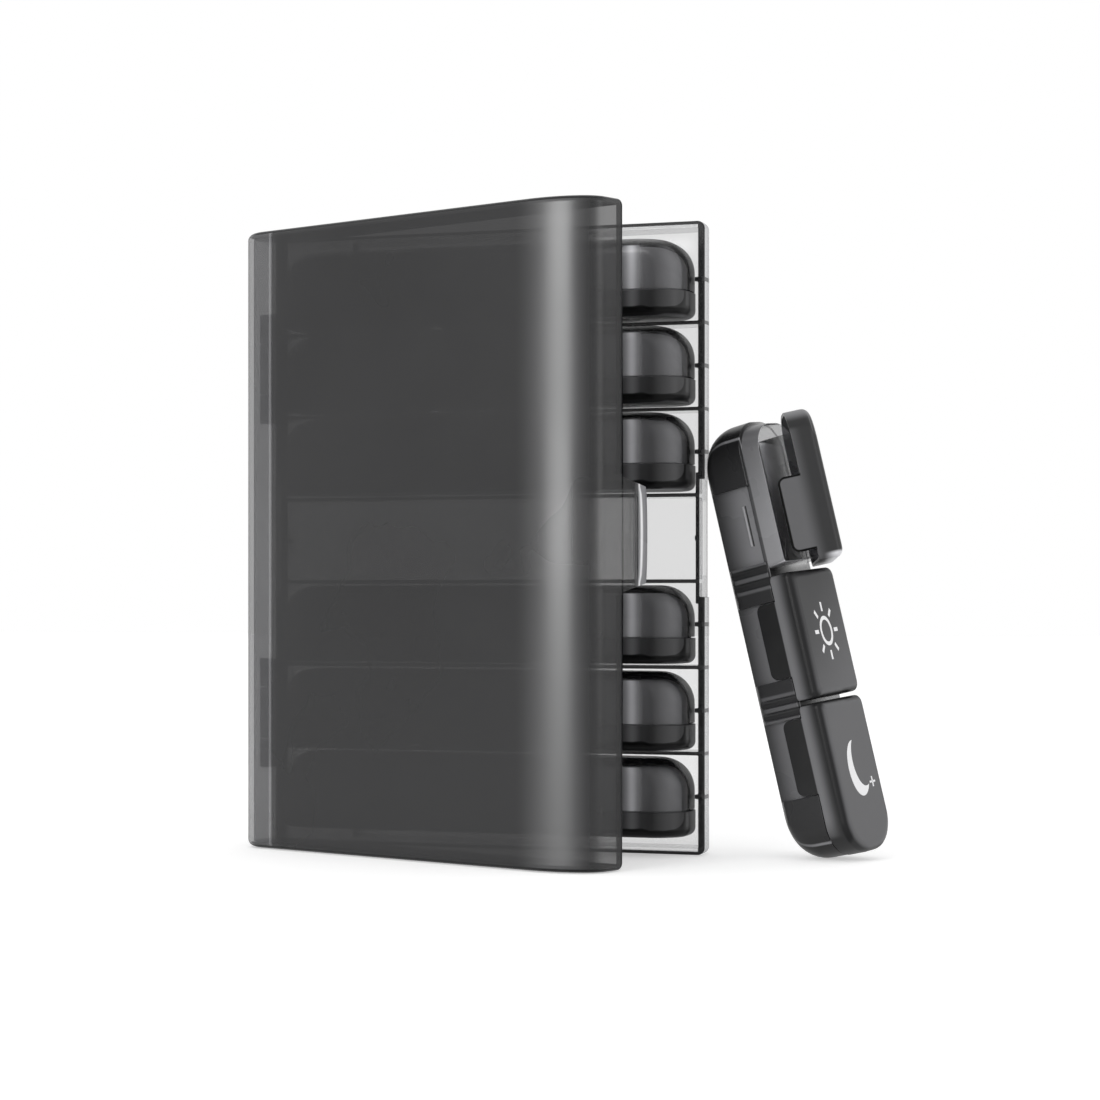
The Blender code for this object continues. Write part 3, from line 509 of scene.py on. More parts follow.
# %% Day numbers
def number_sign(number):
    """A number on the side of the box that faces out of its bay."""
    bpy.ops.object.text_add()
    words = bpy.context.object
    words.data.body = str(number)
    words.data.size = 7.0 * MM
    words.data.extrude = 0.02 * MM
    words.data.align_x = "CENTER"
    words.data.align_y = "CENTER"
    only(words)
    bpy.ops.object.convert(target="MESH")
    sign = bpy.context.object
    open_up(sign)
    bpy.ops.mesh.select_all(action="SELECT")
    bpy.ops.mesh.remove_doubles(threshold=0.002 * MM)
    bpy.ops.mesh.normals_make_consistent(inside=False)
    close_up()
    turn = Matrix(((1, 0, 0, -5.75 * MM), (0, 0, 1, 11.02 * MM), (0, -1, 0, 9.0 * MM), (0, 0, 0, 1)))
    sign.data.transform(turn)
    return mark_spots(sign)


numbers = {day: number_sign(index + 1) for index, day in enumerate(DAYS)}

# %% [markdown]
# ## The rear tray
# The tray is one clear moulding: a shallow shell with six shelves across it, a short rib at each
# bay's middle to place the box, and at the free side a recess with a slot for the latch. The shell is
# a plate with two round corners, pulled up the case's height and drawn in at both ends, and each
# bay is cut with a block that has the ribs cut out of it.

# %% Sizes of the case
HALF_WIDTH, HEIGHT, MIDDLE = 62.75, 172.0, 86.0
RIM, OPEN_Y, BACK_Y, FLOOR_Y = -6.0, -5.85, 6.0, 4.2
WALL, BAY_PITCH, SHELF = 1.8, 23.4, 1.0
HINGE_X = -66.05
STATIONS = (37.0, 135.0)


def bay_middle(index):
    return MIDDLE + (index - 3) * BAY_PITCH


def drawn_in(width, depth, height, end_round):
    """Steps for a shell whose sides and back are rounded at both ends."""
    steps = []
    for index in range(1, 7):
        rise = end_round * (1 - math.cos(index * math.pi / 12))
        inset = end_round * (1 - math.sin(index * math.pi / 12))
        steps.append((rise, (width - inset) / (width - end_round), (depth - inset) / (depth - end_round)))
    full = [(height - level, across, deep) for level, across, deep in reversed(steps)]
    return steps + full + [(height, 1.0, 1.0)]


# %% Shell of the tray
END_ROUND = 2.0
half, deep = HALF_WIDTH - END_ROUND, BACK_Y - END_ROUND
tray = plate("tray", (-half, OPEN_Y), (half, deep), 0.0, [(-half, deep, 6.9), (half, deep, 6.9)])
pull(tray, drawn_in(HALF_WIDTH, BACK_Y - OPEN_Y, HEIGHT, END_ROUND), (0, OPEN_Y))
print("tray shell:", len(tray.data.vertices), "points")

# %% Bays
ribs = []
for index in range(7):
    middle = bay_middle(index)
    for side in (-1, 1):
        tip, out = side * 60.0, side * 64.0
        ribs.append(slab("rib", (min(tip, out), -12, middle - 0.6), (max(tip, out), 8, middle + 0.6)))
for x in (-40.0, 24.0):
    ribs.append(slab("end rib", (x - 0.6, -12, 0), (x + 0.6, 8, 4.9)))
    ribs.append(slab("end rib", (x - 0.6, -12, HEIGHT - 4.9), (x + 0.6, 8, HEIGHT)))
latch_wall = slab("latch wall", (60.25, -12, 68.2), (64.0, 8, 103.8))
inner = HALF_WIDTH - WALL
bays = []
for index in range(7):
    low = WALL if index == 0 else bay_middle(index) - BAY_PITCH / 2 + SHELF / 2
    high = HEIGHT - WALL if index == 6 else bay_middle(index) + BAY_PITCH / 2 - SHELF / 2
    bay = plate("bay", (-inner, -9), (inner, FLOOR_Y), low, [(-inner, FLOOR_Y, 6.2), (inner, FLOOR_Y, 6.2)])
    bays.append(pull(bay, [(high, 1, 1)]))
bays = gather("bays", bays)
combine(bays, [gather("ribs", ribs), latch_wall], "DIFFERENCE")
combine(tray, [bays], "DIFFERENCE")

# %% Latch recess, slot and hinge knuckles
combine(tray, [slab("recess", (61.25, -10, 70.0), (66, 10, 102.0)),
               slab("slot", (58, -2.0, 75.8), (66, 1.6, 96.2))], "DIFFERENCE")
knuckles = []
for middle in STATIONS:
    for low in (middle - 15.5, middle + 7.5):
        barrel = round_bar("knuckle", (HINGE_X, RIM, low + 4), 3.0, 8.0, "z", 48)
        web = slab("web", (HINGE_X, -5.7, low), (-61.85, -3.0, low + 8))
        knuckles.append(combine(barrel, [web], "UNION"))
combine(tray, [gather("knuckles", knuckles)], "UNION")
combine(tray, [gather("bores", [round_bar("bore", (HINGE_X, RIM, middle + 2), 1.3, 31, "z")
                                for middle in STATIONS])], "DIFFERENCE")
soften(tray, 0.2)
print("tray:", len(tray.data.polygons), "faces")

# %% [markdown]
# ## The front cover
# The cover is a deeper shell of darker plastic, with a long soft curve along its free edge. It is
# drawn shut, like the tray: the curve is a round corner that is then stretched along the panel. A
# tongue with a turned lip stands on its free side, and the whole cover is swung open at the end.

# %% Shell of the cover
PANEL_Y, SHUT_Y, COVER_WALL = -22.5, -6.15, 1.6


def stretched_corner(piece, edge, reach, amount):
    """Stretch a round corner along the panel, away from the free edge."""
    open_up(piece)
    pick(piece, "verts", lambda co: co.x > (edge - reach - 0.01) * MM and co.y < SHUT_Y * MM - 0.1 * MM)
    bpy.ops.transform.resize(value=(amount, 1, 1), center_override=(edge * MM, 0, 0))
    close_up()


half, front = HALF_WIDTH - END_ROUND, PANEL_Y + END_ROUND
cover = plate("cover", (-half, front), (half, SHUT_Y), 0.0, [(-half, front, 7.4), (half, front, 8.8)])
stretched_corner(cover, half, 8.8, 17.4 / 8.8)
pull(cover, drawn_in(HALF_WIDTH, SHUT_Y - PANEL_Y, HEIGHT, END_ROUND), (0, SHUT_Y))
inner, floor_y = HALF_WIDTH - COVER_WALL, PANEL_Y + COVER_WALL
hollow = plate("hollow", (-inner, floor_y), (inner, 0), COVER_WALL,
               [(-inner, floor_y, 6.4), (inner, floor_y, 8.4)])
stretched_corner(hollow, inner, 8.4, 16.4 / 8.4)
pull(hollow, [(HEIGHT - COVER_WALL, 1, 1)])
combine(cover, [hollow], "DIFFERENCE")
print("cover shell:", len(cover.data.vertices), "points")

# %% Tongue
TONGUE_END = 3.6
tongue = slab("tongue", (61.75, -9.0, MIDDLE - 15.5), (62.75, TONGUE_END, MIDDLE + 15.5))
open_up(tongue)
pick(tongue, "verts", lambda co: co.y > 0)
bpy.ops.transform.resize(value=(1, 1, 12.5 / 15.5), center_override=(0, 0, MIDDLE * MM))
close_up()
lip = slab("lip", (62.25, TONGUE_END - 3.6, MIDDLE - 12.5), (63.85, TONGUE_END, MIDDLE + 12.5))
open_up(lip)
bpy.ops.mesh.select_all(action="SELECT")
bpy.ops.mesh.subdivide(number_cuts=11)
close_up()
for point in lip.data.vertices:
    along = (point.co.z / MM - MIDDLE) / 12.5
    across = (point.co.x / MM - 62.25) / 1.6
    back = (point.co.y / MM - (TONGUE_END - 3.6)) / 3.6
    bow = math.sqrt(max(0.0, 1 - along ** 2))
    crest = math.sin(math.pi * min(1.0, max(0.0, 0.1 + 0.75 * back)))
    point.co.x = (62.25 + across * (0.5 + 1.1 * bow * crest)) * MM
hook = slab("hook", (61.45, -1.6, MIDDLE - 9.6), (62.25, -0.2, MIDDLE + 9.6))
combine(tongue, [lip, hook], "UNION")

# %% Knuckles, and the cover swung open
parts = []
for middle in STATIONS:
    barrel = round_bar("knuckle", (HINGE_X, RIM, middle), 3.0, 14.4, "z", 48)
    web = slab("web", (HINGE_X, -9.0, middle - 7.2), (-61.95, -6.3, middle + 7.2))
    parts.append(combine(barrel, [web], "UNION"))
combine(cover, [gather("knuckles", parts)], "UNION")
combine(cover, [tongue], "UNION")
combine(cover, [gather("bores", [round_bar("bore", (HINGE_X, RIM, middle), 1.3, 20, "z")
                                 for middle in STATIONS])], "DIFFERENCE")
soften(cover, 0.2)
mark_spots(cover)
axis = Vector((HINGE_X, RIM, 0)) * MM
OPEN = math.radians(21)
cover.data.transform(Matrix.Translation(axis) @ Matrix.Rotation(-OPEN, 4, "Z") @ Matrix.Translation(-axis))
print("cover:", len(cover.data.polygons), "faces")

# %% [markdown]
# ## Putting the pieces in their places
# Every box is the same moulding, so one body and three lids are copied seven times. A stored box is
# turned over: its base is up and its lids are down. The box that is out stands on its night end,
# turned a little to the viewer, and leans on the case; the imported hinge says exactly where.

# %% Places of the boxes
def stored_place(index):
    top = bay_middle(index) + BOX_HEIGHT / 2
    return Matrix.Translation(Vector((0, -7.1, top)) * MM) @ Matrix.Diagonal((1, -1, -1, 1))


def leaning_place():
    turn, lean = math.radians(19), math.radians(13.2)
    upright = Matrix(((0, math.sin(turn), math.cos(turn)), (0, math.cos(turn), -math.sin(turn)),
                      (-1, 0, 0)))
    axes = (Matrix.Rotation(-lean, 3, "Y") @ upright).to_4x4()
    hinge = Vector(HINGES["wednesday_morning_hinge"]["pos_m"])
    here = axes @ (Vector((TAB_PLACES["morning"], AXIS_U, AXIS_V)) * MM)
    return Matrix.Translation(hinge - here) @ axes


def swung(meal, degrees):
    """How a lid's mesh moves when it opens about its bar."""
    hinge = Vector((TAB_PLACES[meal], AXIS_U, AXIS_V)) * MM
    return (Matrix.Translation(hinge) @ Matrix.Rotation(-math.radians(degrees), 4, "X")
            @ Matrix.Translation(-hinge))


# %% Copies
def put(master, name, place, body_name, node=None):
    """Copy a piece with its own mesh, put it in place and hang it on its body."""
    piece = bpy.data.objects.new(name, master.data.copy())
    bpy.context.scene.collection.objects.link(piece)
    piece.data.transform(place)
    if node:
        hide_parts(node)
    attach(piece, body_name)
    return piece


bodies, caps, prints = [], [], []
for index, day in enumerate(DAYS):
    out = day == "wednesday"
    place = leaning_place() if out else stored_place(index)
    carrier = day + "_body"
    bodies.append(put(body, day + "_box_moulding", place, carrier, day + "_box"))
    prints.append(put(numbers[day], day + "_number", place, carrier))
    for meal in MEALS:
        holder = "wednesday_" + meal if out else carrier
        move = place @ swung(meal, 38) if out and meal == "morning" else place
        node = f"{day}_{meal}_lid"
        caps.append(put(lids[meal], node + "_cap", move, holder, node))
        prints.append(put(signs[meal], node + "_sign", move, holder))
for master in [body, *lids.values(), *signs.values(), *numbers.values()]:
    bpy.data.objects.remove(master, do_unlink=True)
tray.name, cover.name = "tray_shell", "cover_shell"
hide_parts("rear_tray"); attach(tray, "tray")
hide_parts("front_cover"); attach(cover, "cover")
print(len(bodies), "bodies,", len(caps), "lids,", len(prints), "printed signs")

# %% [markdown]
# ## Finishes
# All of it is injection-moulded plastic in four tones. Each finish is a gloss shader with its own
# colour, a soft unevenness in the colour and the gloss, and a very fine ripple, as a mould leaves.
# See-through parts let light pass by their alpha, and more is held back where the wall is seen
# edge-on, as with real clear plastic. Some light, shade and highlights are also painted into the
# colours, as is said at each place.

# %% Building a finish
def new_finish(name, roughness):
    material = bpy.data.materials.new(name)
    material.use_nodes = True
    tree = material.node_tree
    shader = tree.nodes["Principled BSDF"]
    shader.inputs["Roughness"].default_value = roughness
    return material, tree, shader


def add(tree, kind, **settings):
    node = tree.nodes.new("ShaderNode" + kind)
    for key, value in settings.items():
        setattr(node, key, value)
    return node


def sums(tree, operation, *values):
    """A small sum of numbers or sockets."""
    node = add(tree, "Math", operation=operation)
    for socket, value in zip(node.inputs, values):
        if isinstance(value, (int, float)):
            socket.default_value = value
        else:
            tree.links.new(value, socket)
    return node.outputs[0]


def step(tree, value, low, high, start=0.0, end=1.0):
    """A soft step from one number to another as a value goes from low to high."""
    node = add(tree, "MapRange", interpolation_type="SMOOTHSTEP")
    tree.links.new(value, node.inputs["Value"])
    for key, number in (("From Min", low), ("From Max", high), ("To Min", start), ("To Max", end)):
        node.inputs[key].default_value = number
    return node.outputs[0]


def blend(tree, share, first, second):
    """A colour between two colours."""
    node = add(tree, "Mix", data_type="RGBA")
    tree.links.new(share, node.inputs[0])
    for socket, colour in ((node.inputs[6], first), (node.inputs[7], second)):
        if isinstance(colour, tuple):
            socket.default_value = (*colour, 1.0)
        else:
            tree.links.new(colour, socket)
    return node.outputs[2]


def place_of(tree, attribute=None):
    """Where a point is, in metres on the object or in millimetres in the box's drawing."""
    if attribute:
        source = add(tree, "Attribute", attribute_name=attribute).outputs["Vector"]
    else:
        source = add(tree, "TexCoord").outputs["Object"]
    split = add(tree, "SeparateXYZ")
    tree.links.new(source, split.inputs[0])
    return source, split.outputs


def unevenness(tree, source, scale, detail=3.0):
    node = add(tree, "TexNoise")
    tree.links.new(source, node.inputs["Vector"])
    node.inputs["Scale"].default_value = scale
    node.inputs["Detail"].default_value = detail
    return node.outputs[0]


def ripple(tree, shader, height, strength, distance):
    bump = add(tree, "Bump")
    bump.inputs["Strength"].default_value = strength
    bump.inputs["Distance"].default_value = distance
    tree.links.new(height, bump.inputs["Height"])
    tree.links.new(bump.outputs[0], shader.inputs["Normal"])


# %% Masks
def between(tree, value, low, high, soft):
    """1 between two numbers and 0 outside them, with soft ends."""
    rise = step(tree, value, low - soft, low + soft)
    fall = step(tree, value, high - soft, high + soft, 1.0, 0.0)
    return sums(tree, "MULTIPLY", rise, fall)


def both(tree, first, *others):
    for other in others:
        first = sums(tree, "MULTIPLY", first, other)
    return first


def either(tree, first, *others):
    for other in others:
        first = sums(tree, "MAXIMUM", first, other)
    return first


def corner_reach(tree, first, first_start, second, second_start):
    """The distance past a round corner's middle, for a rounded outline."""
    a = sums(tree, "MAXIMUM", sums(tree, "SUBTRACT", first, first_start), 0.0)
    b = sums(tree, "MAXIMUM", sums(tree, "SUBTRACT", second, second_start), 0.0)
    squares = sums(tree, "ADD", sums(tree, "MULTIPLY", a, a), sums(tree, "MULTIPLY", b, b))
    return sums(tree, "SQRT", squares)


def blend_number(tree, share, first, second):
    """A number between two numbers."""
    node = add(tree, "Mix", data_type="FLOAT")
    tree.links.new(share, node.inputs[0])
    for socket, value in ((node.inputs[2], first), (node.inputs[3], second)):
        if isinstance(value, (int, float)):
            socket.default_value = value
        else:
            tree.links.new(value, socket)
    return node.outputs[0]


def gloss_at_edges(tree, shader, most, least):
    """Less gloss where a wall is seen edge-on, so that it goes dark there as smoky plastic does."""
    edge = add(tree, "LayerWeight")
    edge.inputs[0].default_value = 0.35
    facing = edge.outputs["Facing"]
    tree.links.new(step(tree, facing, 0.45, 0.95, most, least), shader.inputs["Specular IOR Level"])
    return facing


def dull(tree, shader, share, level=0.05):
    """Take the gloss off where a mask is 1."""
    gloss = shader.inputs["Specular IOR Level"]
    tree.links.new(blend_number(tree, share, gloss.links[0].from_socket, level), gloss)


# %% Dark smoke of the cover
def cover_finish():
    material, tree, shader = new_finish("dark smoke", 0.30)
    source, (x, y, z) = place_of(tree, "spot")
    cloud = unevenness(tree, source, 0.018)
    facing = gloss_at_edges(tree, shader, 0.5, 0.05)
    # A band along the curve of the free edge is painted lighter: a painted highlight that adds to the lamp's
    # real one.
    painted_curve_highlight = both(tree, between(tree, x, 46.0, 59.5, 6.0), step(tree, y, -16.0, -20.0))
    tone = blend(tree, cloud, (0.006, 0.006, 0.007), (0.012, 0.012, 0.013))
    tone = blend(tree, painted_curve_highlight, tone, (0.090, 0.090, 0.092))
    # Along the hinge side the wall is clearer, and it is also painted lighter as light shining through it, with
    # a thin painted highlight line along the strip's inner edge.
    hinge_strip = both(tree, step(tree, x, -48.2, -48.9), step(tree, x, -64.0, -63.0))
    tone = blend(tree, hinge_strip, tone, (0.10, 0.10, 0.105))
    tone = blend(tree, between(tree, x, -49.7, -48.9, 0.2), tone, (0.30, 0.30, 0.31))
    # The lip of the tongue is painted lighter as a painted sheen, with a painted highlight running along it as a
    # streak.
    lip = both(tree, step(tree, y, -0.2, 0.3), step(tree, x, 61.0, 61.5))
    painted_streak = between(tree, y, 0.5, 1.1, 0.25)
    tone = blend(tree, lip, tone, (0.22, 0.22, 0.23))
    tone = blend(tree, both(tree, lip, painted_streak), tone, (0.85, 0.85, 0.86))
    ends = either(tree, step(tree, z, 1.1, 0.8), step(tree, z, HEIGHT - 1.1, HEIGHT - 0.8))
    tongue_zone = step(tree, sums(tree, "ABSOLUTE", sums(tree, "SUBTRACT", z, MIDDLE)), 15.6, 15.4)
    brim = both(tree, between(tree, y, -6.75, -5.0, 0.12), sums(tree, "SUBTRACT", 1.0, tongue_zone))
    edging = either(tree, ends, brim)
    tree.links.new(step(tree, cloud, 0.3, 0.7, 0.26, 0.34), shader.inputs["Roughness"])
    # The side wall after the curve is clearer, and is also painted a little lighter as light coming through it.
    side_wall = both(tree, step(tree, y, -17.0, -13.0), step(tree, x, 40.0, 50.0))
    tone = blend(tree, both(tree, side_wall, step(tree, y, -6.0, -8.0)), tone, (0.030, 0.030, 0.031))
    tone = blend(tree, edging, tone, (0.006, 0.006, 0.007))
    tree.links.new(tone, shader.inputs["Base Color"])
    clear = blend_number(tree, side_wall, 0.86, 0.58)
    clear = blend_number(tree, hinge_strip, clear, 0.50)
    clear = blend_number(tree, lip, clear, 0.9)
    clear = blend_number(tree, edging, clear, 0.93)
    dull(tree, shader, edging, 0.15)
    edge = step(tree, facing, 0.4, 1.0)
    tree.links.new(blend_number(tree, edge, clear, 0.98), shader.inputs["Alpha"])
    ripple(tree, shader, unevenness(tree, source, 0.08, 2.0), 0.03, 0.0002)
    return material


# %% Clear smoke of the tray
def tray_finish():
    material, tree, shader = new_finish("clear smoke", 0.16)
    source, (x, y, z) = place_of(tree)
    cloud = unevenness(tree, source, 25.0)
    front = step(tree, y, (OPEN_Y + 0.25) * MM, (OPEN_Y + 0.9) * MM, 1.0, 0.0)
    up = sums(tree, "ABSOLUTE", sums(tree, "SUBTRACT", z, MIDDLE * MM))
    across = sums(tree, "ABSOLUTE", x)
    lines = either(tree, step(tree, up, 84.0 * MM, 84.4 * MM, 1.0, 0.0), step(tree, up, 84.9 * MM, 85.2 * MM),
                   step(tree, across, 60.8 * MM, 61.0 * MM))
    rim = both(tree, front, lines)
    facing = gloss_at_edges(tree, shader, 0.5, 0.2)
    dull(tree, shader, rim)
    tone = blend(tree, cloud, (0.34, 0.34, 0.36), (0.42, 0.42, 0.44))
    tone = blend(tree, rim, tone, (0.008, 0.008, 0.009))
    seen = step(tree, facing, 0.15, 1.0, 0.17, 0.75)
    bay = sums(tree, "DIVIDE", sums(tree, "SUBTRACT", z, MIDDLE * MM), BAY_PITCH * MM)
    off = sums(tree, "ABSOLUTE", sums(tree, "SUBTRACT", bay, sums(tree, "ROUND", bay)))
    behind = either(tree, step(tree, off, 0.028, 0.022), both(tree, step(tree, off, 0.474, 0.482),
                                                          step(tree, up, 80.0 * MM, 79.0 * MM)))
    marks = both(tree, behind, step(tree, across, 61.9 * MM, 62.3 * MM))
    seen = blend_number(tree, marks, seen, 0.85)
    dull(tree, shader, marks)
    tree.links.new(blend(tree, marks, tone, (0.035, 0.035, 0.037)), shader.inputs["Base Color"])
    tree.links.new(either(tree, seen, sums(tree, "MULTIPLY", rim, 0.97)), shader.inputs["Alpha"])
    ripple(tree, shader, unevenness(tree, source, 60.0), 0.05, 0.0004)
    return material


# %% Black smoke of the boxes
def grey(level):
    return (level, level, level * 1.04)


def round_the_corner(tree, far, u):
    """How far along the front and on round the corner a point of a box is."""
    return sums(tree, "ADD", far, sums(tree, "MULTIPLY", sums(tree, "SUBTRACT", 11.0, u), 0.6))


def box_finish(name, lit):
    """The boxes' plastic. The box that is out has an open well, and the far wall at the morning end lets more
    light through; the argument lit is not used, so every box gets that wall.
    """
    material, tree, shader = new_finish(name, 0.26)
    source, (s, u, v) = place_of(tree, "spot")
    cloud = unevenness(tree, source, 0.05)
    far = sums(tree, "ABSOLUTE", s)
    tone = blend(tree, cloud, grey(0.009), grey(0.015))
    # The side that faces out of a bay: dark walls round a hollow painted lighter, as light seen through the
    # walls, with a painted darker band and a painted streak of light.
    front, wrap = step(tree, u, 1.0, 3.0), round_the_corner(tree, far, u)
    reach = corner_reach(tree, wrap, 55.0, sums(tree, "MULTIPLY", v, -1.0), -8.6)
    painted_light_hollow = both(tree, step(tree, reach, 6.1, 6.7, 1.0, 0.0), front)
    tone = blend(tree, painted_light_hollow, tone, grey(0.125))
    tone = blend(tree, both(tree, painted_light_hollow, between(tree, wrap, 50.5, 54.5, 2.8)), tone, grey(0.022))
    painted_streak = both(tree, painted_light_hollow, between(tree, wrap, 44.2, 47.8, 1.8))
    tone = blend(tree, painted_streak, tone, grey(0.72))
    # The side with the recesses: painted lighter away from the ends, and in the recesses painted lighter towards
    # the lids, with a painted highlight and shadow line on the ridge and painted light on the crests of the
    # grooved bands.
    near = step(tree, u, -9.0, -9.6)
    tone = blend(tree, both(tree, near, step(tree, far, 58.0, 42.0)), tone, grey(0.040))
    # The recess floors are painted as lit, lighter towards the lids.
    recess = both(tree, between(tree, u, -9.75, -9.35, 0.12), step(tree, v, 14.2, 14.0))
    lit = blend(tree, step(tree, v, 0.0, 11.0), grey(0.055), grey(0.27))
    tone = blend(tree, recess, tone, lit)
    # Painted light on the crests of the grooved bands.
    joint = sums(tree, "ABSOLUTE", sums(tree, "SUBTRACT", far, 17.7))
    crest = either(tree, step(tree, joint, 0.8, 0.3), between(tree, joint, 2.8, 3.7, 0.3))
    tone = blend(tree, both(tree, crest, step(tree, u, -10.3, -10.6)), tone, grey(0.13))
    # A painted highlight along the catch ridge, with a painted shadow line next to it on the lid side.
    ridge_end = sums(tree, "ABSOLUTE", sums(tree, "SUBTRACT", sums(tree, "ABSOLUTE", sums(
        tree, "SUBTRACT", far, 15.85)), 15.85))
    on_ridge = both(tree, step(tree, ridge_end, 5.7, 5.4), step(tree, u, -9.2, -9.4), near)
    tone = blend(tree, both(tree, on_ridge, between(tree, v, 10.1, 10.7, 0.1)), tone, grey(0.45))
    tone = blend(tree, both(tree, on_ridge, between(tree, v, 10.8, 11.2, 0.1)), tone, grey(0.010))
    # The collars and the skin of the wells are painted light grey, as light shining through the thin smoky
    # walls; the collars are lighter towards the middle.
    tone = blend(tree, step(tree, v, 14.0, 14.3), tone,
                 blend(tree, step(tree, far, 58.0, 30.0), grey(0.14), grey(0.27)))
    well = add(tree, "Attribute", attribute_name="inside").outputs["Fac"]
    tone = blend(tree, well, tone, grey(0.70))
    tree.links.new(tone, shader.inputs["Base Color"])
    seen = either(tree, step(tree, u, -8.0, 7.5, 1.0, 0.55), sums(tree, "MULTIPLY", painted_streak, 0.9))
    if lit:
        seen = blend_number(tree, both(tree, step(tree, s, -18.0, -20.0), step(tree, u, -2.0, 6.0)), seen, 0.38)
    tree.links.new(seen, shader.inputs["Alpha"])
    gloss_at_edges(tree, shader, 0.3, 0.05)
    tree.links.new(step(tree, cloud, 0.3, 0.7, 0.24, 0.30), shader.inputs["Roughness"])
    ripple(tree, shader, unevenness(tree, source, 0.10, 1.0), 0.03, 0.0002)
    return material


# %% Black plastic of the lids
def lid_finish(name, lit):
    """The lids' plastic. A lid that stands open has no box behind it, so more light comes through it: that light
    and its shade are painted into the colours of a copy of its own.
    """
    material, tree, shader = new_finish(name, 0.34)
    source, (s, u, v) = place_of(tree, "spot")
    cloud = unevenness(tree, source, 0.06)
    far = sums(tree, "ABSOLUTE", s)
    tone = blend(tree, cloud, grey(0.014), grey(0.020))
    near = step(tree, u, -10.0, -10.6)
    if lit:
        # The open lid's near wall is painted as lit, lighter low down by the tab and darker towards its top.
        tone = blend(tree, near, tone, blend(tree, step(tree, v, 12.5, 17.5), grey(0.11), grey(0.022)))
        # A dark line painted round the tab stands for the shadow where the tab lies over the box.
        half = sums(tree, "ABSOLUTE", sums(tree, "SUBTRACT", s, TAB_PLACES["morning"]))
        reach = corner_reach(tree, half, 8.2, sums(tree, "MULTIPLY", v, -1.0), -10.0)
        painted_tab_shadow = both(tree, near, between(tree, reach, 1.45, 2.4, 0.1), step(tree, v, 14.6, 14.2),
                         step(tree, half, 10.6, 10.4))
        tone = blend(tree, painted_tab_shadow, tone, grey(0.004))
        # Inside, the hollow is painted lighter as light coming through, with a painted light patch at the end
        # towards the box's middle and a painted highlight at the near side of the outer end.
        side = sums(tree, "ABSOLUTE", u)
        hollow = both(tree, step(tree, side, 10.5, 10.3), step(tree, v, 20.5, 20.2), step(tree, far, 18.4, 18.9),
                      step(tree, corner_reach(tree, far, 50.7, side, 2.0), 8.7, 8.4))
        tone = blend(tree, hollow, tone, grey(0.16))
        tone = blend(tree, both(tree, step(tree, far, 20.2, 19.2), step(tree, v, 15.5, 19.5)), tone, grey(0.75))
        tone = blend(tree, both(tree, step(tree, far, 56.0, 58.5), step(tree, u, 0.0, -6.0)), tone, grey(0.16))
    else:
        # The near skirt is painted as lit, brightest by the rim and fading towards the top.
        painted_skirt_light = blend(tree, step(tree, v, 15.0, 19.0), grey(0.20), grey(0.020))
        tone = blend(tree, both(tree, near, step(tree, v, 14.0, 14.4), step(tree, far, 58.0, 48.0)), tone, painted_skirt_light)
        # The top is painted with light and shade, lighter towards the night end.
        slant = sums(tree, "ADD", s, sums(tree, "MULTIPLY", u, 0.8))
        shade = blend(tree, step(tree, slant, -14.0, 22.0), grey(0.045), grey(0.115))
        tone = blend(tree, both(tree, step(tree, v, 20.4, 21.1), step(tree, u, 9.6, 8.6)), tone, shade)
        # The side that faces out of a bay: a dark wavy line under a hollow painted lighter, as light seen
        # through the lid, with a painted darker band, a painted streak of light and a painted lighter patch
        # round the end.
        front, wrap = step(tree, u, 1.0, 3.0), round_the_corner(tree, far, u)
        wave = sums(tree, "MULTIPLY", unevenness(tree, source, 0.25, 0.0), 1.6)
        reach = corner_reach(tree, wrap, 58.5, sums(tree, "ADD", v, wave), 15.8)
        hollow = both(tree, front, step(tree, reach, 4.0, 3.6))
        tone = blend(tree, both(tree, front, step(tree, v, 20.8, 20.2)), tone, grey(0.008))
        tone = blend(tree, both(tree, front, step(tree, wrap, 62.6, 63.4), step(tree, v, 18.6, 18.0)),
                     tone, grey(0.040))
        tone = blend(tree, hollow, tone, grey(0.050))
        tone = blend(tree, both(tree, hollow, between(tree, wrap, 50.5, 54.5, 2.8)), tone, grey(0.020))
        tone = blend(tree, both(tree, hollow, between(tree, wrap, 44.6, 47.4, 1.4)), tone, grey(0.16))
        tone = blend(tree, both(tree, front, between(tree, reach, 3.8, 4.5, 0.2)), tone, grey(0.003))
    gloss_at_edges(tree, shader, 0.3, 0.05)
    if lit:
        dull(tree, shader, painted_tab_shadow)
    else:
        edge = both(tree, step(tree, v, 18.6, 19.4), step(tree, v, 21.15, 20.9))
        dull(tree, shader, both(tree, either(tree, front, step(tree, u, -8.5, -9.5)), edge), 0.1)
    tree.links.new(tone, shader.inputs["Base Color"])
    tree.links.new(step(tree, cloud, 0.3, 0.7, 0.32, 0.38), shader.inputs["Roughness"])
    ripple(tree, shader, unevenness(tree, source, 0.10, 1.0), 0.03, 0.0002)
    return material


# %% Ink and steel
def ink_finish():
    material, tree, shader = new_finish("white ink", 0.55)
    source, _ = place_of(tree, "spot")
    cover_of_ink = unevenness(tree, source, 3.0)
    tree.links.new(blend(tree, cover_of_ink, (0.86, 0.86, 0.87), (0.96, 0.96, 0.97)),
                   shader.inputs["Base Color"])
    return material


def pin_finish():
    material, tree, shader = new_finish("drawn steel", 0.3)
    source, _ = place_of(tree)
    shader.inputs["Metallic"].default_value = 1.0
    tree.links.new(blend(tree, unevenness(tree, source, 400.0), (0.42, 0.42, 0.43), (0.60, 0.60, 0.61)),
                   shader.inputs["Base Color"])
    return material


def dress(piece, material):
    piece.data.materials.clear()
    piece.data.materials.append(material)


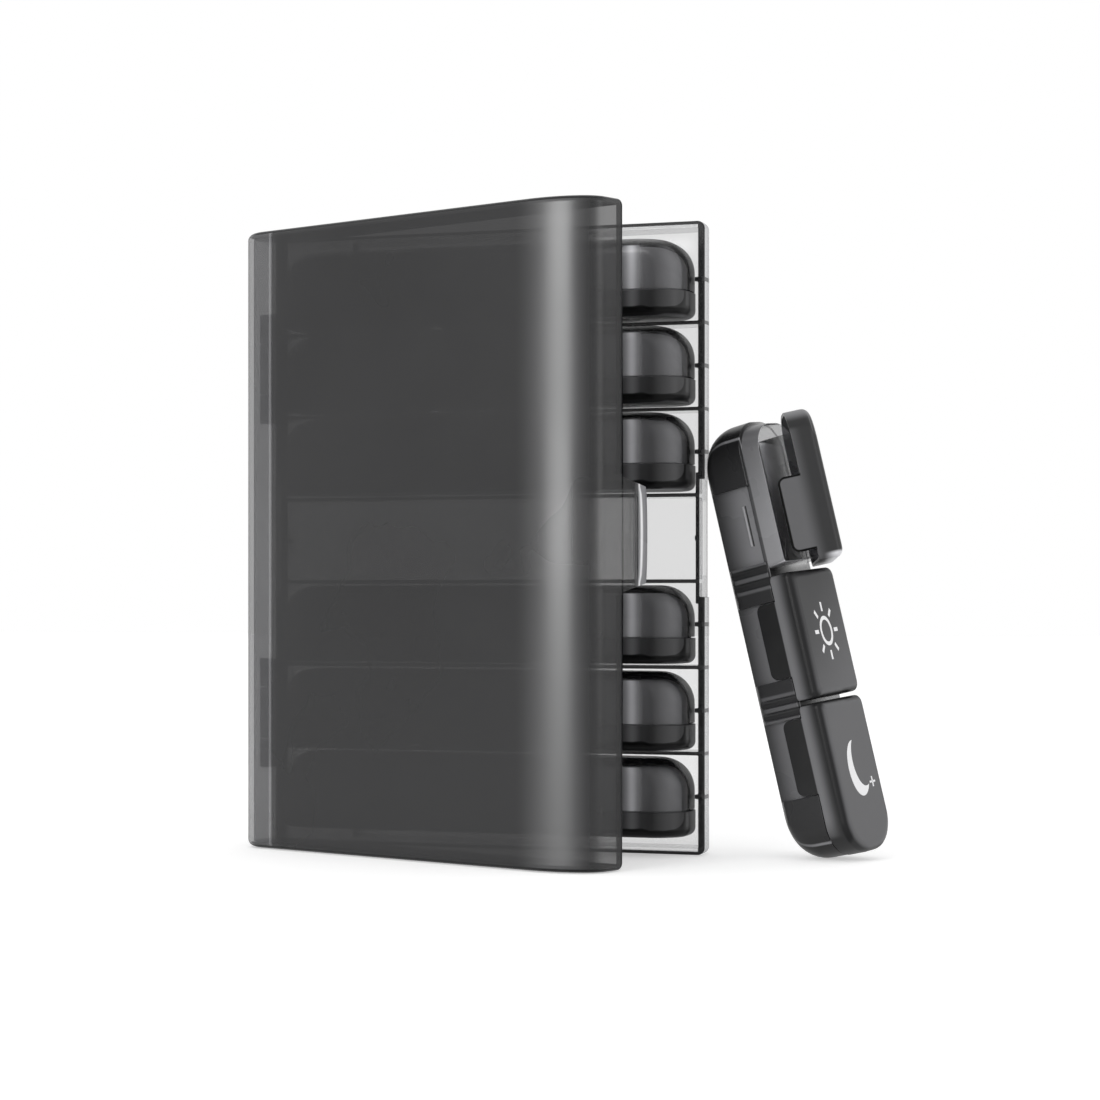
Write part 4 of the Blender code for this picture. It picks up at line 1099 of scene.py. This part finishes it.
dress(cover, cover_finish())
dress(tray, tray_finish())
ink, steel = ink_finish(), pin_finish()
box_plastic, open_box_plastic = box_finish("black smoke", False), box_finish("lit black smoke", True)
# The open lid gets a copy of the lid plastic with its own painted light and shade.
lid_plastic, open_lid_plastic = lid_finish("black plastic", False), lid_finish("lit black plastic", True)
for piece in bodies:
    dress(piece, open_box_plastic if piece.name.startswith("wednesday") else box_plastic)
for piece in caps:
    dress(piece, open_lid_plastic if piece.name.startswith("wednesday_morning") else lid_plastic)
for piece in prints:
    dress(piece, ink)
for name in ("lower_hinge_pin", "upper_hinge_pin"):
    frame["nodes"][name].material_slots[0].material = steel

# %% [markdown]
# ## Floor and light
# The picture has a white ground with next to no shadow. The floor is pale, and what the camera sees
# of it is lifted to white by its own colour, so the lamps can stay at a plain level. A tall soft
# lamp to the left of the camera makes the long upright highlight on the cover's curve, and a band
# painted lighter along the curve adds to it.

# %% Floor
bpy.ops.mesh.primitive_plane_add(size=8.0, location=(0, 0, -0.0002))
floor = bpy.context.object
floor.name = "floor"


def white_ground():
    material, tree, shader = new_finish("pale ground", 0.9)
    shader.inputs["Base Color"].default_value = (0.86, 0.86, 0.86, 1.0)
    shader.inputs["Specular IOR Level"].default_value = 0.1
    path = add(tree, "LightPath")
    glow = add(tree, "Emission")
    glow.inputs["Strength"].default_value = 0.30
    seen = sums(tree, "MAXIMUM", path.outputs["Is Camera Ray"],
                sums(tree, "MAXIMUM", path.outputs["Is Glossy Ray"], path.outputs["Is Transmission Ray"]))
    strength = sums(tree, "MULTIPLY", seen, 0.42)
    tree.links.new(strength, glow.inputs["Strength"])
    both = add(tree, "AddShader")
    tree.links.new(shader.outputs[0], both.inputs[0])
    tree.links.new(glow.outputs[0], both.inputs[1])
    tree.links.new(both.outputs[0], tree.nodes["Material Output"].inputs["Surface"])
    return material


dress(floor, white_ground())

# %% World
world = bpy.data.worlds.new("studio")
bpy.context.scene.world = world
world.use_nodes = True
tree = world.node_tree
back = tree.nodes["Background"]
back.inputs["Color"].default_value = (1, 1, 1, 1)
path = add(tree, "LightPath")
seen = sums(tree, "MAXIMUM", path.outputs["Is Camera Ray"],
            sums(tree, "MAXIMUM", path.outputs["Is Glossy Ray"], path.outputs["Is Transmission Ray"]))
tree.links.new(step(tree, seen, 0.0, 1.0, 0.75, 1.0), back.inputs["Strength"])


# %% Lamps
def soft_lamp(name, azimuth, distance, height, width, tall, power):
    """A tall soft lamp that faces the object. The azimuth is 0 in front and grows to the right."""
    data = bpy.data.lights.new(name, "AREA")
    data.shape = "RECTANGLE"
    data.size, data.size_y = width, tall
    data.energy = power
    lamp = bpy.data.objects.new(name, data)
    angle = math.radians(azimuth)
    lamp.location = (distance * math.sin(angle), -distance * math.cos(angle), height)
    lamp.rotation_euler = (Vector((0, 0, 0.08)) - lamp.location).to_track_quat("-Z", "Y").to_euler()
    bpy.context.scene.collection.objects.link(lamp)
    return lamp


soft_lamp("tall lamp", -19.0, 1.6, 0.3, 0.60, 1.6, 11.0)
soft_lamp("side lamp", 75.0, 1.6, 0.6, 0.6, 1.2, 4.0)
strip = soft_lamp("strip lamp", -21.0, 1.6, 0.3, 0.95, 1.6, 25.0)
strip.visible_diffuse = False
